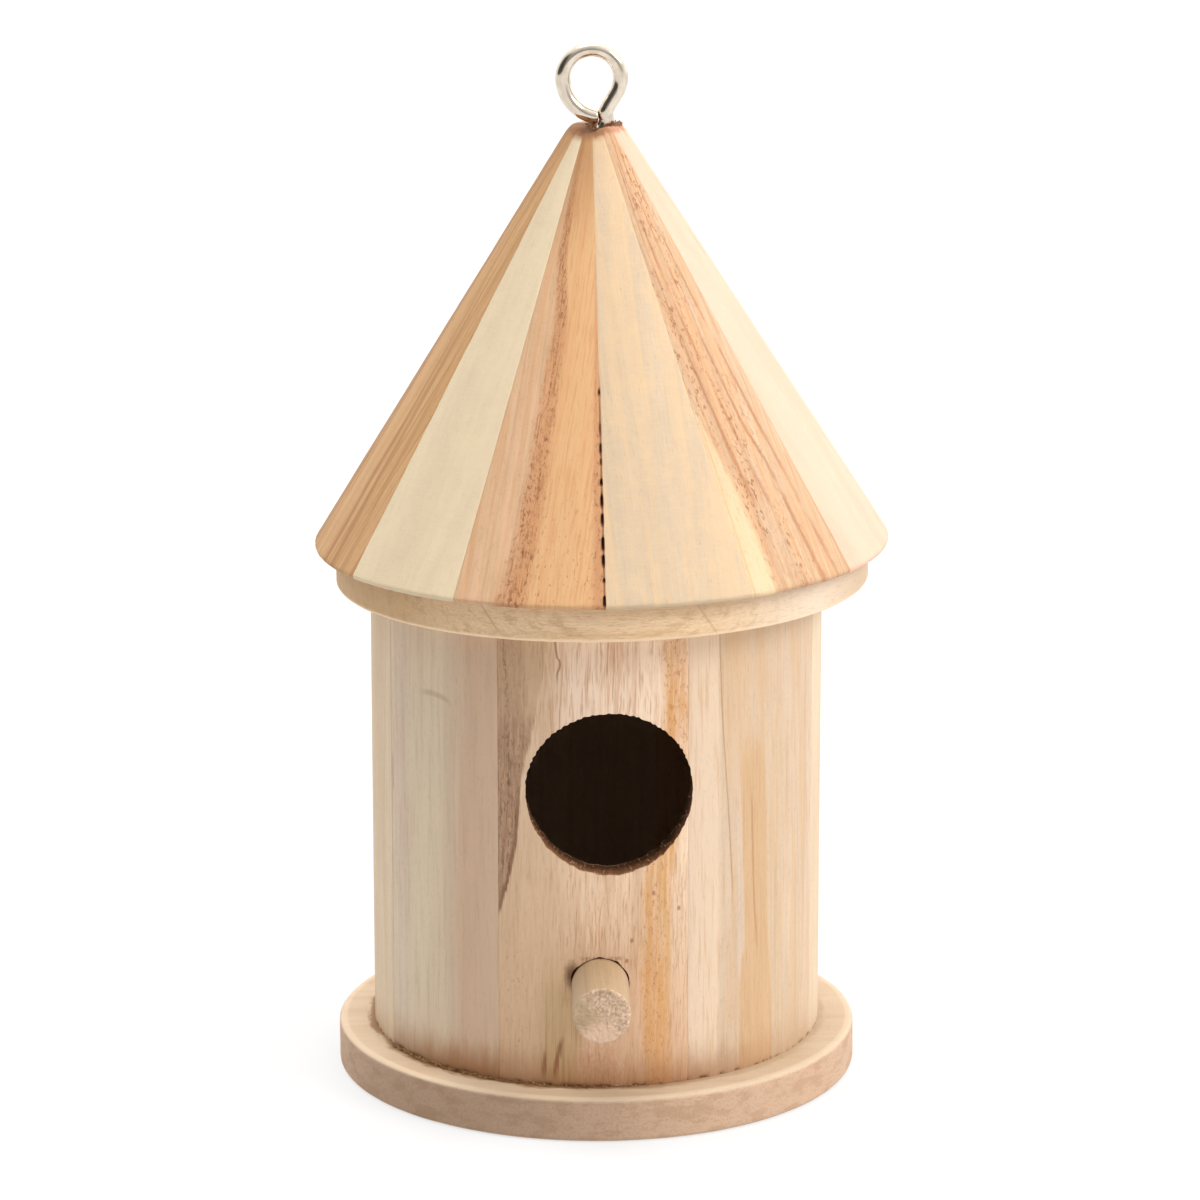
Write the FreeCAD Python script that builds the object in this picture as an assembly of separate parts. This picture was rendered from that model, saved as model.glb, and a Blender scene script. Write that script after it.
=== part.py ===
import FreeCAD, Part
import math
import os

# Round hanging birdhouse.  A tube coopered from eight staves stands on a round base
# disc and carries a round eave disc.  A cone coopered from twelve wedges sits on the
# eave disc, and a bent-wire screw eye is driven into its tip.  A dowel perch sticks
# out of the front stave below the round entrance.
#
# Millimetres and degrees.  The origin is the centre of the base's underside, +Z is up
# and the entrance faces -Y.  Angles round the house are counted from the front (-Y)
# towards the right-hand side (+X).

# ---- driving dimensions: discs and wall ----
base_radius = 44.2
base_thickness = 7.5
disc_edge_round = 0.8           # sanded edges of the base disc
wall_outer_radius = 38.15
wall_thickness = 5.5
wall_height = 77.8
top_allowance = 2.0             # the staves are sawn off at a slant through this
eave_radius = 44.9
eave_thickness = 6.3
eave_edge_round = 0.6           # lower edge of the eave disc, rounded over
roof_lean = 0.7                 # the wall's top was sawn out of square: the roof leans left
roof_lean_back = 0.9            # and leans back
roof_shift = 1.0                # it was glued on slightly to the right

# Angles of the glued seams.  The pieces were ripped by hand, so the front ones differ
# in width; the staves and wedges behind them share out what is left of the circle.
stave_count = 8
front_stave_seams = [-66.5, -27.5, 21.1, 69.3]
wedge_count = 12
front_wedge_seams = [-60.5, -32.2, -1.9, 28.2, 55.4]

# ---- driving dimensions: entrance and perch ----
entrance_radius = 13.9
entrance_x = 0.65               # drilled slightly right of the centre line
entrance_z = 58.2
perch_radius = 4.75
perch_x = -0.8                  # drilled slightly left of the centre line
perch_z = 25.2
perch_reach = 15.0              # how far the dowel stands out of the wall
perch_inner_reach = 1.0         # how far it shows inside the wall
perch_end_round = 0.5
perch_hole_radius = 5.2         # loose hole: the dowel lies on its lowest line

# ---- driving dimensions: roof ----
roof_rim_radius = 48.8
roof_slope_ratio = 0.6268       # radius lost per millimetre of height
roof_rim_round = 0.6
roof_shell = 10.6               # horizontal thickness of the hollow cone
tip_z = 162.5                   # flat tip under the screw eye
tip_chamfer = 0.5
attic_top_z = 140.0             # flat top of the space inside the cone

# ---- driving dimensions: screw eye ----
wire_radius = 1.25
eye_ring_x = -0.65
eye_ring_z = 170.25
eye_ring_radius = 4.78          # centre line of the wire, right half and top
eye_lower_radius = 6.6          # flatter bend of the lower left quarter
eye_end_angle = 255.0           # where the wire is cut off, beside the neck
screw_x = 0.85                  # axis of the shank, right of the cone's own axis
neck_points = [(screw_x, 161.0), (1.75, 162.9), (1.55, 164.7)]
neck_bend_radii = [2.5, 2.0, 2.3]
shank_top_z = 158.7
shank_bottom_z = 145.2
point_length = 2.5
point_radius = 0.1
thread_core_radius = 0.95
thread_root_sink = 0.2          # the ridge is buried this deep in the core
thread_pitch = 1.1
thread_run_out = 0.6            # plain core at both ends of the thread
pilot_clearance = 0.05          # radial, between the thread's crest and the wood
crater_radius = 2.35            # wood torn away round the neck
crater_bottom_z = 160.1

# ---- derived heights ----
floor_z = base_thickness
wall_top_z = floor_z + wall_height
roof_z = wall_top_z + eave_thickness
wall_inner_radius = wall_outer_radius - wall_thickness
pilot_radius = wire_radius + pilot_clearance

ORIGIN = FreeCAD.Vector(0, 0, 0)
UP = FreeCAD.Vector(0, 0, 1)
FRONT = FreeCAD.Vector(0, -1, 0)
LEFT = FreeCAD.Vector(-1, 0, 0)


def vec(x, y, z):
    return FreeCAD.Vector(x, y, z)


def seam_angles(front_seams, count):
    """All seam angles of a ring of glued pieces, starting with the front ones."""
    seams = list(front_seams)
    rest = count - len(front_seams) + 1
    gap = front_seams[0] + 360.0 - front_seams[-1]
    for i in range(1, rest + 1):
        seams.append(front_seams[-1] + gap * i / rest)
    return seams


def ring_sector(profile, start, end):
    """The part of a turned shape between two angles; profile lies in the XZ plane."""
    sector = profile.revolve(ORIGIN, UP, end - start).copy()
    sector.rotate(ORIGIN, UP, start - 90.0)
    return sector


def horizontal_bore(x, z, radius, depth_from, depth_to):
    """A cylinder along -Y between two distances in front of the axis."""
    return Part.makeCylinder(radius, depth_to - depth_from, vec(x, -depth_from, z), FRONT)


def upright_point(r, z):
    return vec(r, 0, z)


def seat_on_wall(shape):
    """Move a piece of the straight, centred roof onto the slanted top of the wall."""
    shape.rotate(vec(0, 0, wall_top_z), FRONT, roof_lean)
    shape.rotate(vec(0, 0, wall_top_z), LEFT, roof_lean_back)
    shape.translate(vec(roof_shift, 0, 0))
    return shape


# ---- discs ----
def circles_at(shape, z):
    """The circular edges of a turned shape that lie at one height."""
    return [e for e in shape.Edges if abs(e.BoundBox.ZMin - z) < 1e-6 and abs(e.BoundBox.ZMax - z) < 1e-6]


def make_base_disc():
    disc = Part.makeCylinder(base_radius, base_thickness)
    edges = circles_at(disc, 0.0) + circles_at(disc, base_thickness)
    return disc.makeFillet(disc_edge_round, edges)


def make_eave_disc():
    disc = Part.makeCylinder(eave_radius, eave_thickness, vec(0, 0, wall_top_z))
    return seat_on_wall(disc.makeFillet(eave_edge_round, circles_at(disc, wall_top_z)))


# ---- wall ----
def make_wall_staves():
    uncut_top_z = wall_top_z + top_allowance
    corners = [
        upright_point(wall_inner_radius, floor_z),
        upright_point(wall_outer_radius, floor_z),
        upright_point(wall_outer_radius, uncut_top_z),
        upright_point(wall_inner_radius, uncut_top_z),
    ]
    profile = Part.Face(Part.makePolygon(corners + corners[:1]))
    past_wall = wall_outer_radius + 5.0
    entrance = horizontal_bore(entrance_x, entrance_z, entrance_radius, 10.0, past_wall)
    hole_z = perch_z + perch_hole_radius - perch_radius
    perch_hole = horizontal_bore(perch_x, hole_z, perch_hole_radius, 10.0, past_wall)
    waste = Part.makeCylinder(2 * past_wall, 2 * top_allowance, vec(0, 0, wall_top_z))
    waste = seat_on_wall(waste)
    seams = seam_angles(front_stave_seams, stave_count)
    staves = []
    for start, end in zip(seams[:-1], seams[1:]):
        stave = ring_sector(profile, start, end)
        staves.append(stave.cut(entrance).cut(perch_hole).cut(waste))
    return staves


def make_perch_dowel():
    length = perch_inner_reach + wall_thickness + perch_reach
    inner_end = vec(perch_x, -(wall_inner_radius - perch_inner_reach), perch_z)
    dowel = Part.makeCylinder(perch_radius, length, inner_end, FRONT)
    ends = [e for e in dowel.Edges if isinstance(e.Curve, Part.Circle)]
    return dowel.makeFillet(perch_end_round, ends)


# ---- roof ----
def cone_radius(z):
    return roof_rim_radius - (z - roof_z) * roof_slope_ratio


def wedge_profile():
    """Half section of the hollow cone, from the rounded rim up to the flat tip."""
    half_angle = math.atan(roof_slope_ratio)
    rim_angle = math.pi / 2 - half_angle
    reach = roof_rim_round / math.tan(rim_angle / 2)
    rim_low = upright_point(roof_rim_radius - reach, roof_z)
    rim_high = upright_point(
        roof_rim_radius - reach * math.sin(half_angle),
        roof_z + reach * math.cos(half_angle),
    )
    centre = vec(rim_low.x, 0, roof_z + roof_rim_round)
    bisector = -math.pi / 2 + (math.pi - rim_angle) / 2
    rim_mid = centre + vec(math.cos(bisector), 0, math.sin(bisector)) * roof_rim_round
    shoulder_z = tip_z - tip_chamfer
    corners = [
        rim_high,
        upright_point(cone_radius(shoulder_z), shoulder_z),
        upright_point(cone_radius(tip_z) - tip_chamfer, tip_z),
        upright_point(0, tip_z),
        upright_point(0, attic_top_z),
        upright_point(cone_radius(attic_top_z) - roof_shell, attic_top_z),
        upright_point(roof_rim_radius - roof_shell, roof_z),
        rim_low,
    ]
    edges = [Part.makeLine(a, b) for a, b in zip(corners[:-1], corners[1:])]
    edges.append(Part.Arc(rim_low, rim_mid, rim_high).toShape())
    return Part.Face(Part.Wire(edges))


def make_roof_wedges():
    profile = wedge_profile()
    pilot = Part.makeCylinder(pilot_radius, tip_z - attic_top_z + 2.0, vec(screw_x, 0, attic_top_z - 1.0))
    crater_depth = tip_z - crater_bottom_z
    crater = Part.makeCone(pilot_radius, crater_radius, crater_depth, vec(screw_x, 0, crater_bottom_z))
    seams = seam_angles(front_wedge_seams, wedge_count)
    wedges = []
    for start, end in zip(seams[:-1], seams[1:]):
        wedge = ring_sector(profile, start, end)
        wedges.append(seat_on_wall(wedge.cut(pilot).cut(crater)))
    return wedges


# ---- screw eye ----
def bend(before, corner, after, radius):
    """Arc that rounds one corner of a path: its start, middle and end points."""
    to_before = (before - corner).normalize()
    to_after = (after - corner).normalize()
    half = to_before.getAngle(to_after) / 2
    reach = radius / math.tan(half)
    inward = (to_before + to_after).normalize()
    middle = corner + inward * (radius / math.sin(half) - radius)
    return corner + to_before * reach, middle, corner + to_after * reach


def ring_point(centre_x, radius, angle):
    turn = math.radians(angle)
    return vec(centre_x + radius * math.cos(turn), 0, eye_ring_z + radius * math.sin(turn))


def tangent_angle(point):
    """Angle on the ring where the straight leg that rises from the neck touches it."""
    dx = point.x - eye_ring_x
    dz = point.z - eye_ring_z
    away = math.degrees(math.acos(eye_ring_radius / math.hypot(dx, dz)))
    return math.degrees(math.atan2(dz, dx)) + away


def eye_path():
    """Centre line of the wire: shank, cranked neck, leg and teardrop loop."""
    neck = [vec(x, 0, z) for x, z in neck_points]
    touch_angle = tangent_angle(neck[-1])
    touch = ring_point(eye_ring_x, eye_ring_radius, touch_angle)
    corners = [vec(screw_x, 0, shank_top_z)] + neck + [touch]
    edges = []
    start = corners[0]
    for i, radius in enumerate(neck_bend_radii, 1):
        first, middle, last = bend(corners[i - 1], corners[i], corners[i + 1], radius)
        edges.append(Part.makeLine(start, first))
        edges.append(Part.Arc(first, middle, last).toShape())
        start = last
    edges.append(Part.makeLine(start, touch))
    left = ring_point(eye_ring_x, eye_ring_radius, 180.0)
    over_top = ring_point(eye_ring_x, eye_ring_radius, (touch_angle + 180.0) / 2)
    edges.append(Part.Arc(touch, over_top, left).toShape())
    lower_x = left.x + eye_lower_radius
    lower_middle = ring_point(lower_x, eye_lower_radius, (180.0 + eye_end_angle) / 2)
    end = ring_point(lower_x, eye_lower_radius, eye_end_angle)
    edges.append(Part.Arc(left, lower_middle, end).toShape())
    return Part.Wire(edges)


def make_thread(low_z, high_z):
    """Helical ridge of the wood screw, sunk a little into its core."""
    helix = Part.makeHelix(thread_pitch, high_z - low_z, thread_core_radius)
    root = thread_core_radius - thread_root_sink
    half_width = 0.3 * thread_pitch
    corners = [vec(root, 0, -half_width), vec(wire_radius, 0, 0), vec(root, 0, half_width)]
    ridge_section = Part.makePolygon(corners + corners[:1])
    ridge = Part.Wire(helix).makePipeShell([ridge_section], True, True)
    ridge.translate(vec(screw_x, 0, low_z))
    return ridge


def make_screw_eye():
    core_bottom = vec(screw_x, 0, shank_bottom_z + point_length)
    core = Part.makeCylinder(thread_core_radius, shank_top_z - core_bottom.z, core_bottom)
    thread = make_thread(core_bottom.z + thread_run_out, shank_top_z - thread_run_out)
    point = Part.makeCone(point_radius, thread_core_radius, point_length, vec(screw_x, 0, shank_bottom_z))
    circle = Part.Circle(vec(screw_x, 0, shank_top_z), UP, wire_radius)
    loop = eye_path().makePipeShell([Part.Wire(circle.toShape())], True, False)
    return seat_on_wall(core.fuse(thread).fuse(point).fuse(loop))


def write_node(name, shape):
    solid = shape.Solids[0] if len(shape.Solids) == 1 else shape
    assert solid.isValid() and solid.Volume > 0 and len(shape.Solids) == 1, name
    solid.exportStep(os.path.join("parts", name + ".step"))
    print("%-16s %9.1f mm3  %d faces" % (name, solid.Volume, len(solid.Faces)))


def main():
    os.makedirs("parts", exist_ok=True)
    write_node("base_disc", make_base_disc())
    for number, stave in enumerate(make_wall_staves(), 1):
        write_node("wall_stave_%d" % number, stave)
    write_node("eave_disc", make_eave_disc())
    for number, wedge in enumerate(make_roof_wedges(), 1):
        write_node("roof_wedge_%02d" % number, wedge)
    write_node("perch_dowel", make_perch_dowel())
    write_node("screw_eye", make_screw_eye())


main()
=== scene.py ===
import bpy
import bmesh
import math
import numpy as np
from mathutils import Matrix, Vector, noise


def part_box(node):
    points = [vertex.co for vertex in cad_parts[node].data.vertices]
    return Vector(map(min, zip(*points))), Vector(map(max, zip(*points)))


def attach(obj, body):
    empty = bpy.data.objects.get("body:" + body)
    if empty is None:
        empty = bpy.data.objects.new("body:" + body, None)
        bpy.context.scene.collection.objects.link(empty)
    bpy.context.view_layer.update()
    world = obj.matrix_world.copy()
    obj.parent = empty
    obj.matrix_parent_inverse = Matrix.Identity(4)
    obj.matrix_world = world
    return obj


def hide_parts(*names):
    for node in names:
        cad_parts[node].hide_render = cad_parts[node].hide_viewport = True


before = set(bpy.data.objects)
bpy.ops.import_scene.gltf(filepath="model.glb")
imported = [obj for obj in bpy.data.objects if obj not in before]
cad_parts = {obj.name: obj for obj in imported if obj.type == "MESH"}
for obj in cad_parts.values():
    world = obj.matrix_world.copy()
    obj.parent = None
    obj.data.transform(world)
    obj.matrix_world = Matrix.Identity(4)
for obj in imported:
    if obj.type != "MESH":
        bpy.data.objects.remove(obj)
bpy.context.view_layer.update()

# Looks of the round birdhouse.  The wooden pieces are rebuilt as dense meshes in the
# places of their CAD nodes, because their seams, holes and ends are ragged.
# Lengths are millimetres until a mesh is made; angles are degrees, counted round the
# house from the front (-Y) towards the right-hand side (+X).
MM = 0.001

# ---- the house, as packed ----
FLOOR_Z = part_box("base_disc")[1].z / MM
BASE_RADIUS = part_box("base_disc")[1].x / MM
BASE_EDGE_ROUND = 0.8
WALL_RADIUS = 38.15
WALL_INNER_RADIUS = 32.65
WALL_TOP_Z = 85.3
STAVE_SEAMS = [-66.5, -27.5, 21.1, 69.3]
STAVE_COUNT = 8
EAVE_RADIUS = 44.9
EAVE_THICKNESS = 6.3
EAVE_EDGE_ROUND = 0.6
ROOF_LEAN = 0.7
ROOF_LEAN_BACK = 0.9
ROOF_SHIFT = 1.0
ROOF_Z = WALL_TOP_Z + EAVE_THICKNESS
RIM_RADIUS = 48.8
RIM_ROUND = 0.6
SLOPE_RATIO = 0.6268
ROOF_SHELL = 10.6
TIP_Z = 162.5
ATTIC_TOP_Z = 140.0
WEDGE_SEAMS = [-62.0, -32.7, -0.9, 29.9, 57.9]    # directions seen from the hub
WEDGE_COUNT = 12
HUB = (-0.8, -1.9)              # where the wedges' points meet, in front of the cone's axis
ENTRANCE_RADIUS = 13.9
ENTRANCE_X = 0.65
ENTRANCE_Z = 58.2
PERCH_RADIUS = 4.75
PERCH_X = -0.8
PERCH_Z = 25.2
PERCH_REACH = 15.0
SCREW_X = 0.85
WIRE_RADIUS = 1.25
SEAM_INSET = 0.01               # half the glue line between two pieces

SLANT = math.sqrt(1 + SLOPE_RATIO ** 2)       # slope length per millimetre of height
CONE_SINE = SLOPE_RATIO / SLANT               # sine of the cone's half angle
PERCH_HOLE_Z = PERCH_Z + 0.12        # the bore's torn mouth closes round the dowel


# ---- placing ----
LEAN = math.radians(ROOF_LEAN)
BACK = math.radians(ROOF_LEAN_BACK)
TILT = np.array([[math.cos(LEAN), 0, -math.sin(LEAN)],
                 [math.sin(LEAN) * math.sin(BACK), math.cos(BACK), math.cos(LEAN) * math.sin(BACK)],
                 [math.sin(LEAN) * math.cos(BACK), -math.sin(BACK), math.cos(LEAN) * math.cos(BACK)]])
WALL_TOP = np.array([0, 0, WALL_TOP_Z])
ROOF_FOOT = np.array([ROOF_SHIFT, 0, WALL_TOP_Z])


def seat(points):
    """Points of the straight, centred roof, moved onto the slanted top of the wall."""
    return (points - WALL_TOP) @ TILT.T + ROOF_FOOT


def unseat(points):
    """The opposite of seat()."""
    return (points - ROOF_FOOT) @ TILT + WALL_TOP


def around(radius, angle, z):
    turn = np.radians(angle)
    return np.stack(np.broadcast_arrays(radius * np.sin(turn), -radius * np.cos(turn), z), -1)


def polar(points, start=-200.0):
    """Angle and distance from the house's axis; angles run on from the start."""
    phi = np.degrees(np.arctan2(points[..., 0], -points[..., 1]))
    return np.where(phi < start - 20, phi + 360, phi), np.hypot(points[..., 0], points[..., 1])


def circle(count):
    """Directions of points spaced evenly round a circle, in radians."""
    return np.radians(np.arange(count) * 360.0 / count)


def seams_of(front_seams, count):
    """All seam angles of a ring of pieces: the back ones share what the front ones leave."""
    rest = count - len(front_seams) + 1
    gap = front_seams[0] + 360.0 - front_seams[-1]
    return front_seams + [front_seams[-1] + gap * i / rest for i in range(1, rest + 1)]


def rough(points, size, seed, octaves=3):
    """Smooth random numbers of about -1 to 1, with lumps of that size in millimetres."""
    shift = Vector((seed * 7.31, seed * 3.17, seed * 5.73))
    flat = np.asarray(points, float).reshape(-1, 3) / size
    values = [noise.fractal(Vector(p) + shift, 0.8, 2.1, octaves) for p in flat]
    return np.array(values).reshape(np.asarray(points).shape[:-1])


def smooth(low, high, x):
    t = np.clip((np.asarray(x, float) - low) / (high - low), 0.0, 1.0)
    return t * t * (3 - 2 * t)


def bell(x, centre, width):
    """1 at the centre, falling off smoothly on both sides."""
    return np.exp(-((x - centre) / width) ** 2)


def spaced(start, end, step, ends=(0,)):
    """Numbers from start to end about a step apart, with extra ones close to both ends."""
    count = max(2, int(round((end - start) / step)) + 1)
    room = max(ends) + step / 3
    inner = [v for v in np.linspace(start, end, count)[1:-1] if start + room < v < end - room]
    extra = [start + e for e in ends] + [end - e for e in ends]
    return np.unique([start, end] + inner + extra)


# ---- meshes ----
def make_object(name, vertices, faces):
    mesh = bpy.data.meshes.new(name)
    mesh.from_pydata((np.asarray(vertices) * MM).tolist(), [], faces)
    build = bmesh.new()
    build.from_mesh(mesh)
    bmesh.ops.remove_doubles(build, verts=build.verts, dist=1e-7)
    bmesh.ops.recalc_face_normals(build, faces=build.faces)
    build.to_mesh(mesh)
    build.free()
    piece = bpy.data.objects.new(name, mesh)
    bpy.context.scene.collection.objects.link(piece)
    return piece


def tube_faces(rings, sides):
    """Quads between neighbouring closed rings, and a cap at each end."""
    faces = []
    for i in range(rings - 1):
        for j in range(sides):
            k = (j + 1) % sides
            faces.append((i * sides + j, (i + 1) * sides + j, (i + 1) * sides + k, i * sides + k))
    faces.append(tuple(range(sides)))
    faces.append(tuple((rings - 1) * sides + j for j in reversed(range(sides))))
    return faces


def turned(name, outline, columns, shape=None):
    """A turned solid: outline is (radius, z) from the axis and back to it."""
    ring = np.array(outline[1:-1], float)
    angles = np.arange(columns) * 360.0 / columns
    grid = around(ring[None, :, 0], angles[:, None], ring[None, :, 1])
    poles = np.array([[0, 0, outline[0][1]], [0, 0, outline[-1][1]]], float)
    if shape:
        grid, poles = shape(grid), shape(poles)
    rows = len(ring)
    faces = []
    for i in range(columns):
        n = (i + 1) % columns
        for j in range(rows - 1):
            faces.append((i * rows + j, n * rows + j, n * rows + j + 1, i * rows + j + 1))
        faces.append((columns * rows, n * rows, i * rows))
        faces.append((columns * rows + 1, i * rows + rows - 1, n * rows + rows - 1))
    return make_object(name, np.concatenate([grid.reshape(-1, 3), poles]), faces)


def cut(piece, *cutters):
    """Cuts closed meshes out of a piece and deletes them."""
    for cutter in cutters:
        tool = piece.modifiers.new("cut", "BOOLEAN")
        tool.operation = "DIFFERENCE"
        tool.solver = "EXACT"
        tool.object = cutter
    graph = bpy.context.evaluated_depsgraph_get()
    result = bpy.data.meshes.new_from_object(piece.evaluated_get(graph))
    piece.modifiers.clear()
    spent = [piece.data] + [cutter.data for cutter in cutters]
    piece.data = result
    for cutter in cutters:
        bpy.data.objects.remove(cutter)
    for mesh in spent:
        bpy.data.meshes.remove(mesh)


def positions(piece):
    flat = np.zeros(len(piece.data.vertices) * 3, np.float32)
    piece.data.vertices.foreach_get("co", flat)
    return flat.reshape(-1, 3).astype(float) / MM


def finish_piece(piece, body, node, slot, material, sharp_angle=40.0, dark=None, **places):
    """Stores what the materials read, shades, paints and hands the piece to its body."""
    mesh = piece.data
    for key, values in places.items():
        data = mesh.attributes.new(key, "FLOAT_VECTOR", "POINT")
        data.data.foreach_set("vector", np.stack(values, -1).astype(np.float32).ravel())
    if dark is not None:
        data = mesh.attributes.new("dark", "FLOAT", "POINT")
        data.data.foreach_set("value", np.clip(dark, 0, 1).astype(np.float32))
    mesh.shade_smooth()
    mesh.set_sharp_from_angle(angle=math.radians(sharp_angle))
    mesh.materials.clear()
    mesh.materials.append(material)
    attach(piece, body)
    if node:
        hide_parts(node)


# ---- material expressions ----
class Term:
    """A number worked out in a material's node tree."""

    def __init__(self, tree, socket):
        self.tree = tree
        self.socket = socket

    def op(self, operation, *others):
        node = self.tree.nodes.new("ShaderNodeMath")
        node.operation = operation
        for place, item in zip(node.inputs, (self,) + others):
            plug(self.tree, place, item)
        return Term(self.tree, node.outputs[0])

    def __add__(self, other):
        return self.op("ADD", other)

    def __sub__(self, other):
        return self.op("SUBTRACT", other)

    def __mul__(self, other):
        return self.op("MULTIPLY", other)

    def size(self):
        return self.op("ABSOLUTE")


def plug(tree, place, item):
    if isinstance(item, Term):
        tree.links.new(item.socket, place)
    else:
        place.default_value = item


def tone(red, green, blue):
    """A colour by its 0-255 display values."""
    parts = [v / 255 for v in (red, green, blue)]
    linear = [p / 12.92 if p <= 0.04045 else ((p + 0.055) / 1.055) ** 2.4 for p in parts]
    return (*linear, 1.0)


class Paint:
    """Expressions in one node tree, and the colour that stains are laid on."""

    def __init__(self, tree):
        self.tree = tree

    def new(self, kind, **settings):
        node = self.tree.nodes.new("ShaderNode" + kind)
        for key, value in settings.items():
            setattr(node, key, value)
        return node

    def fill(self, node, places, result=0):
        """Sets a node's inputs, by name or number, and gives one of its results, if any."""
        for key, item in places.items():
            plug(self.tree, node.inputs[key], item)
        return None if result is None else Term(self.tree, node.outputs[result])

    def read(self, name):
        node = self.new("Attribute", attribute_name=name)
        parts = self.new("SeparateXYZ")
        self.tree.links.new(node.outputs["Vector"], parts.inputs[0])
        return [Term(self.tree, out) for out in parts.outputs]

    def read_number(self, name):
        return self.fill(self.new("Attribute", attribute_name=name), {}, "Fac")

    def noise(self, x, y, z, detail=2.0, roughness=0.5):
        spot = self.fill(self.new("CombineXYZ"), {0: x, 1: y, 2: z})
        return self.fill(self.new("TexNoise"), {"Vector": spot, "Scale": 1.0, "Detail": detail,
                                                "Roughness": roughness})

    def remap(self, value, low, high, first=0.0, last=1.0, curve="SMOOTHSTEP"):
        return self.fill(self.new("MapRange", interpolation_type=curve),
                         {"Value": value, "From Min": low, "From Max": high, "To Min": first, "To Max": last})

    def step(self, value, low, high):
        """0 below low, 1 above high, smooth in between; low may be above high."""
        if low > high:
            return self.remap(value, high, low, 1.0, 0.0)
        return self.remap(value, low, high)

    def between(self, value, low, high, soft):
        return self.step(value, low - soft, low + soft) * self.step(value, high + soft, high - soft)

    def stripe(self, value, centre, half_width, soft):
        return self.step((value - centre).size(), half_width + soft, half_width)

    def streaks(self, seed, width, length, low, high):
        """Long thin marks along the grain, 0 to 1."""
        across, along = self.grain
        marks = self.noise(across * (1.0 / width), along * (1.0 / length), seed, 2.0, 0.6)
        return self.step(marks, low, high)

    def path(self, value, *points):
        """A smooth curve through a few (value, result) points."""
        xs, ys = zip(*points)
        low, rise = min(ys), max(ys) - min(ys)
        node = self.new("FloatCurve")
        line = node.mapping.curves[0]
        for _ in points[2:]:
            line.points.new(0.5, 0.5)
        for spot, (x, y) in zip(line.points, points):
            spot.location = ((x - xs[0]) / (xs[-1] - xs[0]), (y - low) / rise)
        node.mapping.update()
        share = (value - xs[0]) * (1.0 / (xs[-1] - xs[0]))
        return self.fill(node, {"Value": share}) * rise + low

    def mix(self, factor, first, second):
        """A Mix node's places 6 and 7, and its result 2, are its colours."""
        return self.fill(self.new("Mix", data_type="RGBA"), {0: factor, 6: first, 7: second}, 2)

    def tone_layer(self, factor, *display_tone):
        """Lays a tone, in 0-255 display values, over the colour so far: real stains, painted shade and
        painted highlights alike.
        """
        self.colour = self.mix(factor, self.colour, tone(*display_tone))

    def shade(self, factor):
        self.colour = self.fill(self.new("VectorMath", operation="SCALE"), {0: self.colour, 3: factor})

    def surface(self, roughness, height, relief, gloss, metallic=0.0):
        """Ends the material: relief is the bump's depth in millimetres."""
        normal = self.fill(self.new("Bump"), {"Strength": 1.0, "Distance": relief * MM, "Height": height})
        shader = self.fill(self.new("BsdfPrincipled"), {
            "Base Color": self.colour, "Roughness": roughness, "Normal": normal,
            "Specular IOR Level": gloss, "Metallic": metallic})
        self.fill(self.new("OutputMaterial"), {0: shader}, None)


def new_paint(name):
    material = bpy.data.materials.new(name)
    material.use_nodes = True
    material.node_tree.nodes.clear()
    return material, Paint(material.node_tree)


# ---- wood ----
# Tones that the 'dark' attribute lays on the wood: painted shade in hollows, holes, gaps and creases, and at
# the roof's tip also the darker torn wood.
DEEP_SHADE_AND_TORN_WOOD = (70, 43, 26)
WARM_SHADE_AND_TORN_WOOD = (150, 104, 70)


def wood(name, pale, deep, line, ring_size=1.6, ring_strength=0.5, fibre=0.16, pores=0.35,
         specks=0.0, hatch=0.05, details=None):
    """Raw wood.  pale and deep are its broad tones, line the colour of its growth rings."""
    material, p = new_paint(name)
    across, depth, along = p.read("grain")
    p.grain = across, along
    p.place = p.read("place")
    dark = p.read_number("dark")
    drift = p.noise(across * 0.05, depth * 0.05, along * 0.012, 1.0)
    bent = across + (drift - 0.5) * 7.0
    patch = p.noise(across * 0.22, depth * 0.3, along * 0.09, 3.0, 0.6)
    broad = p.step(p.noise(bent * 0.14, depth * 0.14, along * 0.012, 2.0), 0.36, 0.64)
    ring = p.step(p.noise(bent * (1.0 / ring_size), depth * 0.25, along * 0.006, 3.0, 0.6), 0.5, 0.66)
    strand = p.noise(across * 2.6, depth * 2.6, along * 0.06, 3.0, 0.65)
    hair = p.noise(across * 8.0, depth * 8.0, along * 0.45, 2.0, 0.6)
    pore = p.step(p.noise(across * 5.0, depth * 5.0, along * 0.75, 1.0), 0.63, 0.72)
    fleck = p.noise(across * 0.7, depth * 1.5, along * 3.6, 2.0, 0.6)
    p.colour = p.mix(broad, tone(*pale), tone(*deep))
    p.tone_layer(ring * ring_strength, *line)
    p.tone_layer(pore * pores, *line)
    light = (strand - 0.5) * (fibre * 2.2) + (hair - 0.5) * fibre + (fleck - 0.5) * (hatch * 2.0)
    p.shade(light + (patch - 0.5) * 0.16 + 1.0)
    if specks:
        spot = p.step(p.noise(across * 2.2, depth * 2.2, along * 1.5, 2.0, 0.7), 0.62, 0.70)
        p.tone_layer(spot * specks, *line)
    if details:
        details(p)
    # Painted shade from the 'dark' attribute, warm brown and then deep brown; at the roof's tip it is partly
    # the torn wood's own colour.
    p.tone_layer(p.step(dark, 0.0, 0.5), *WARM_SHADE_AND_TORN_WOOD)
    p.tone_layer(p.step(dark, 0.3, 1.0), *DEEP_SHADE_AND_TORN_WOOD)
    p.surface(strand * 0.2 + 0.55, strand * 0.7 + hair * 0.5 + fleck * 0.15 - pore * 0.6, 0.05, 0.25)
    return material


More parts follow.
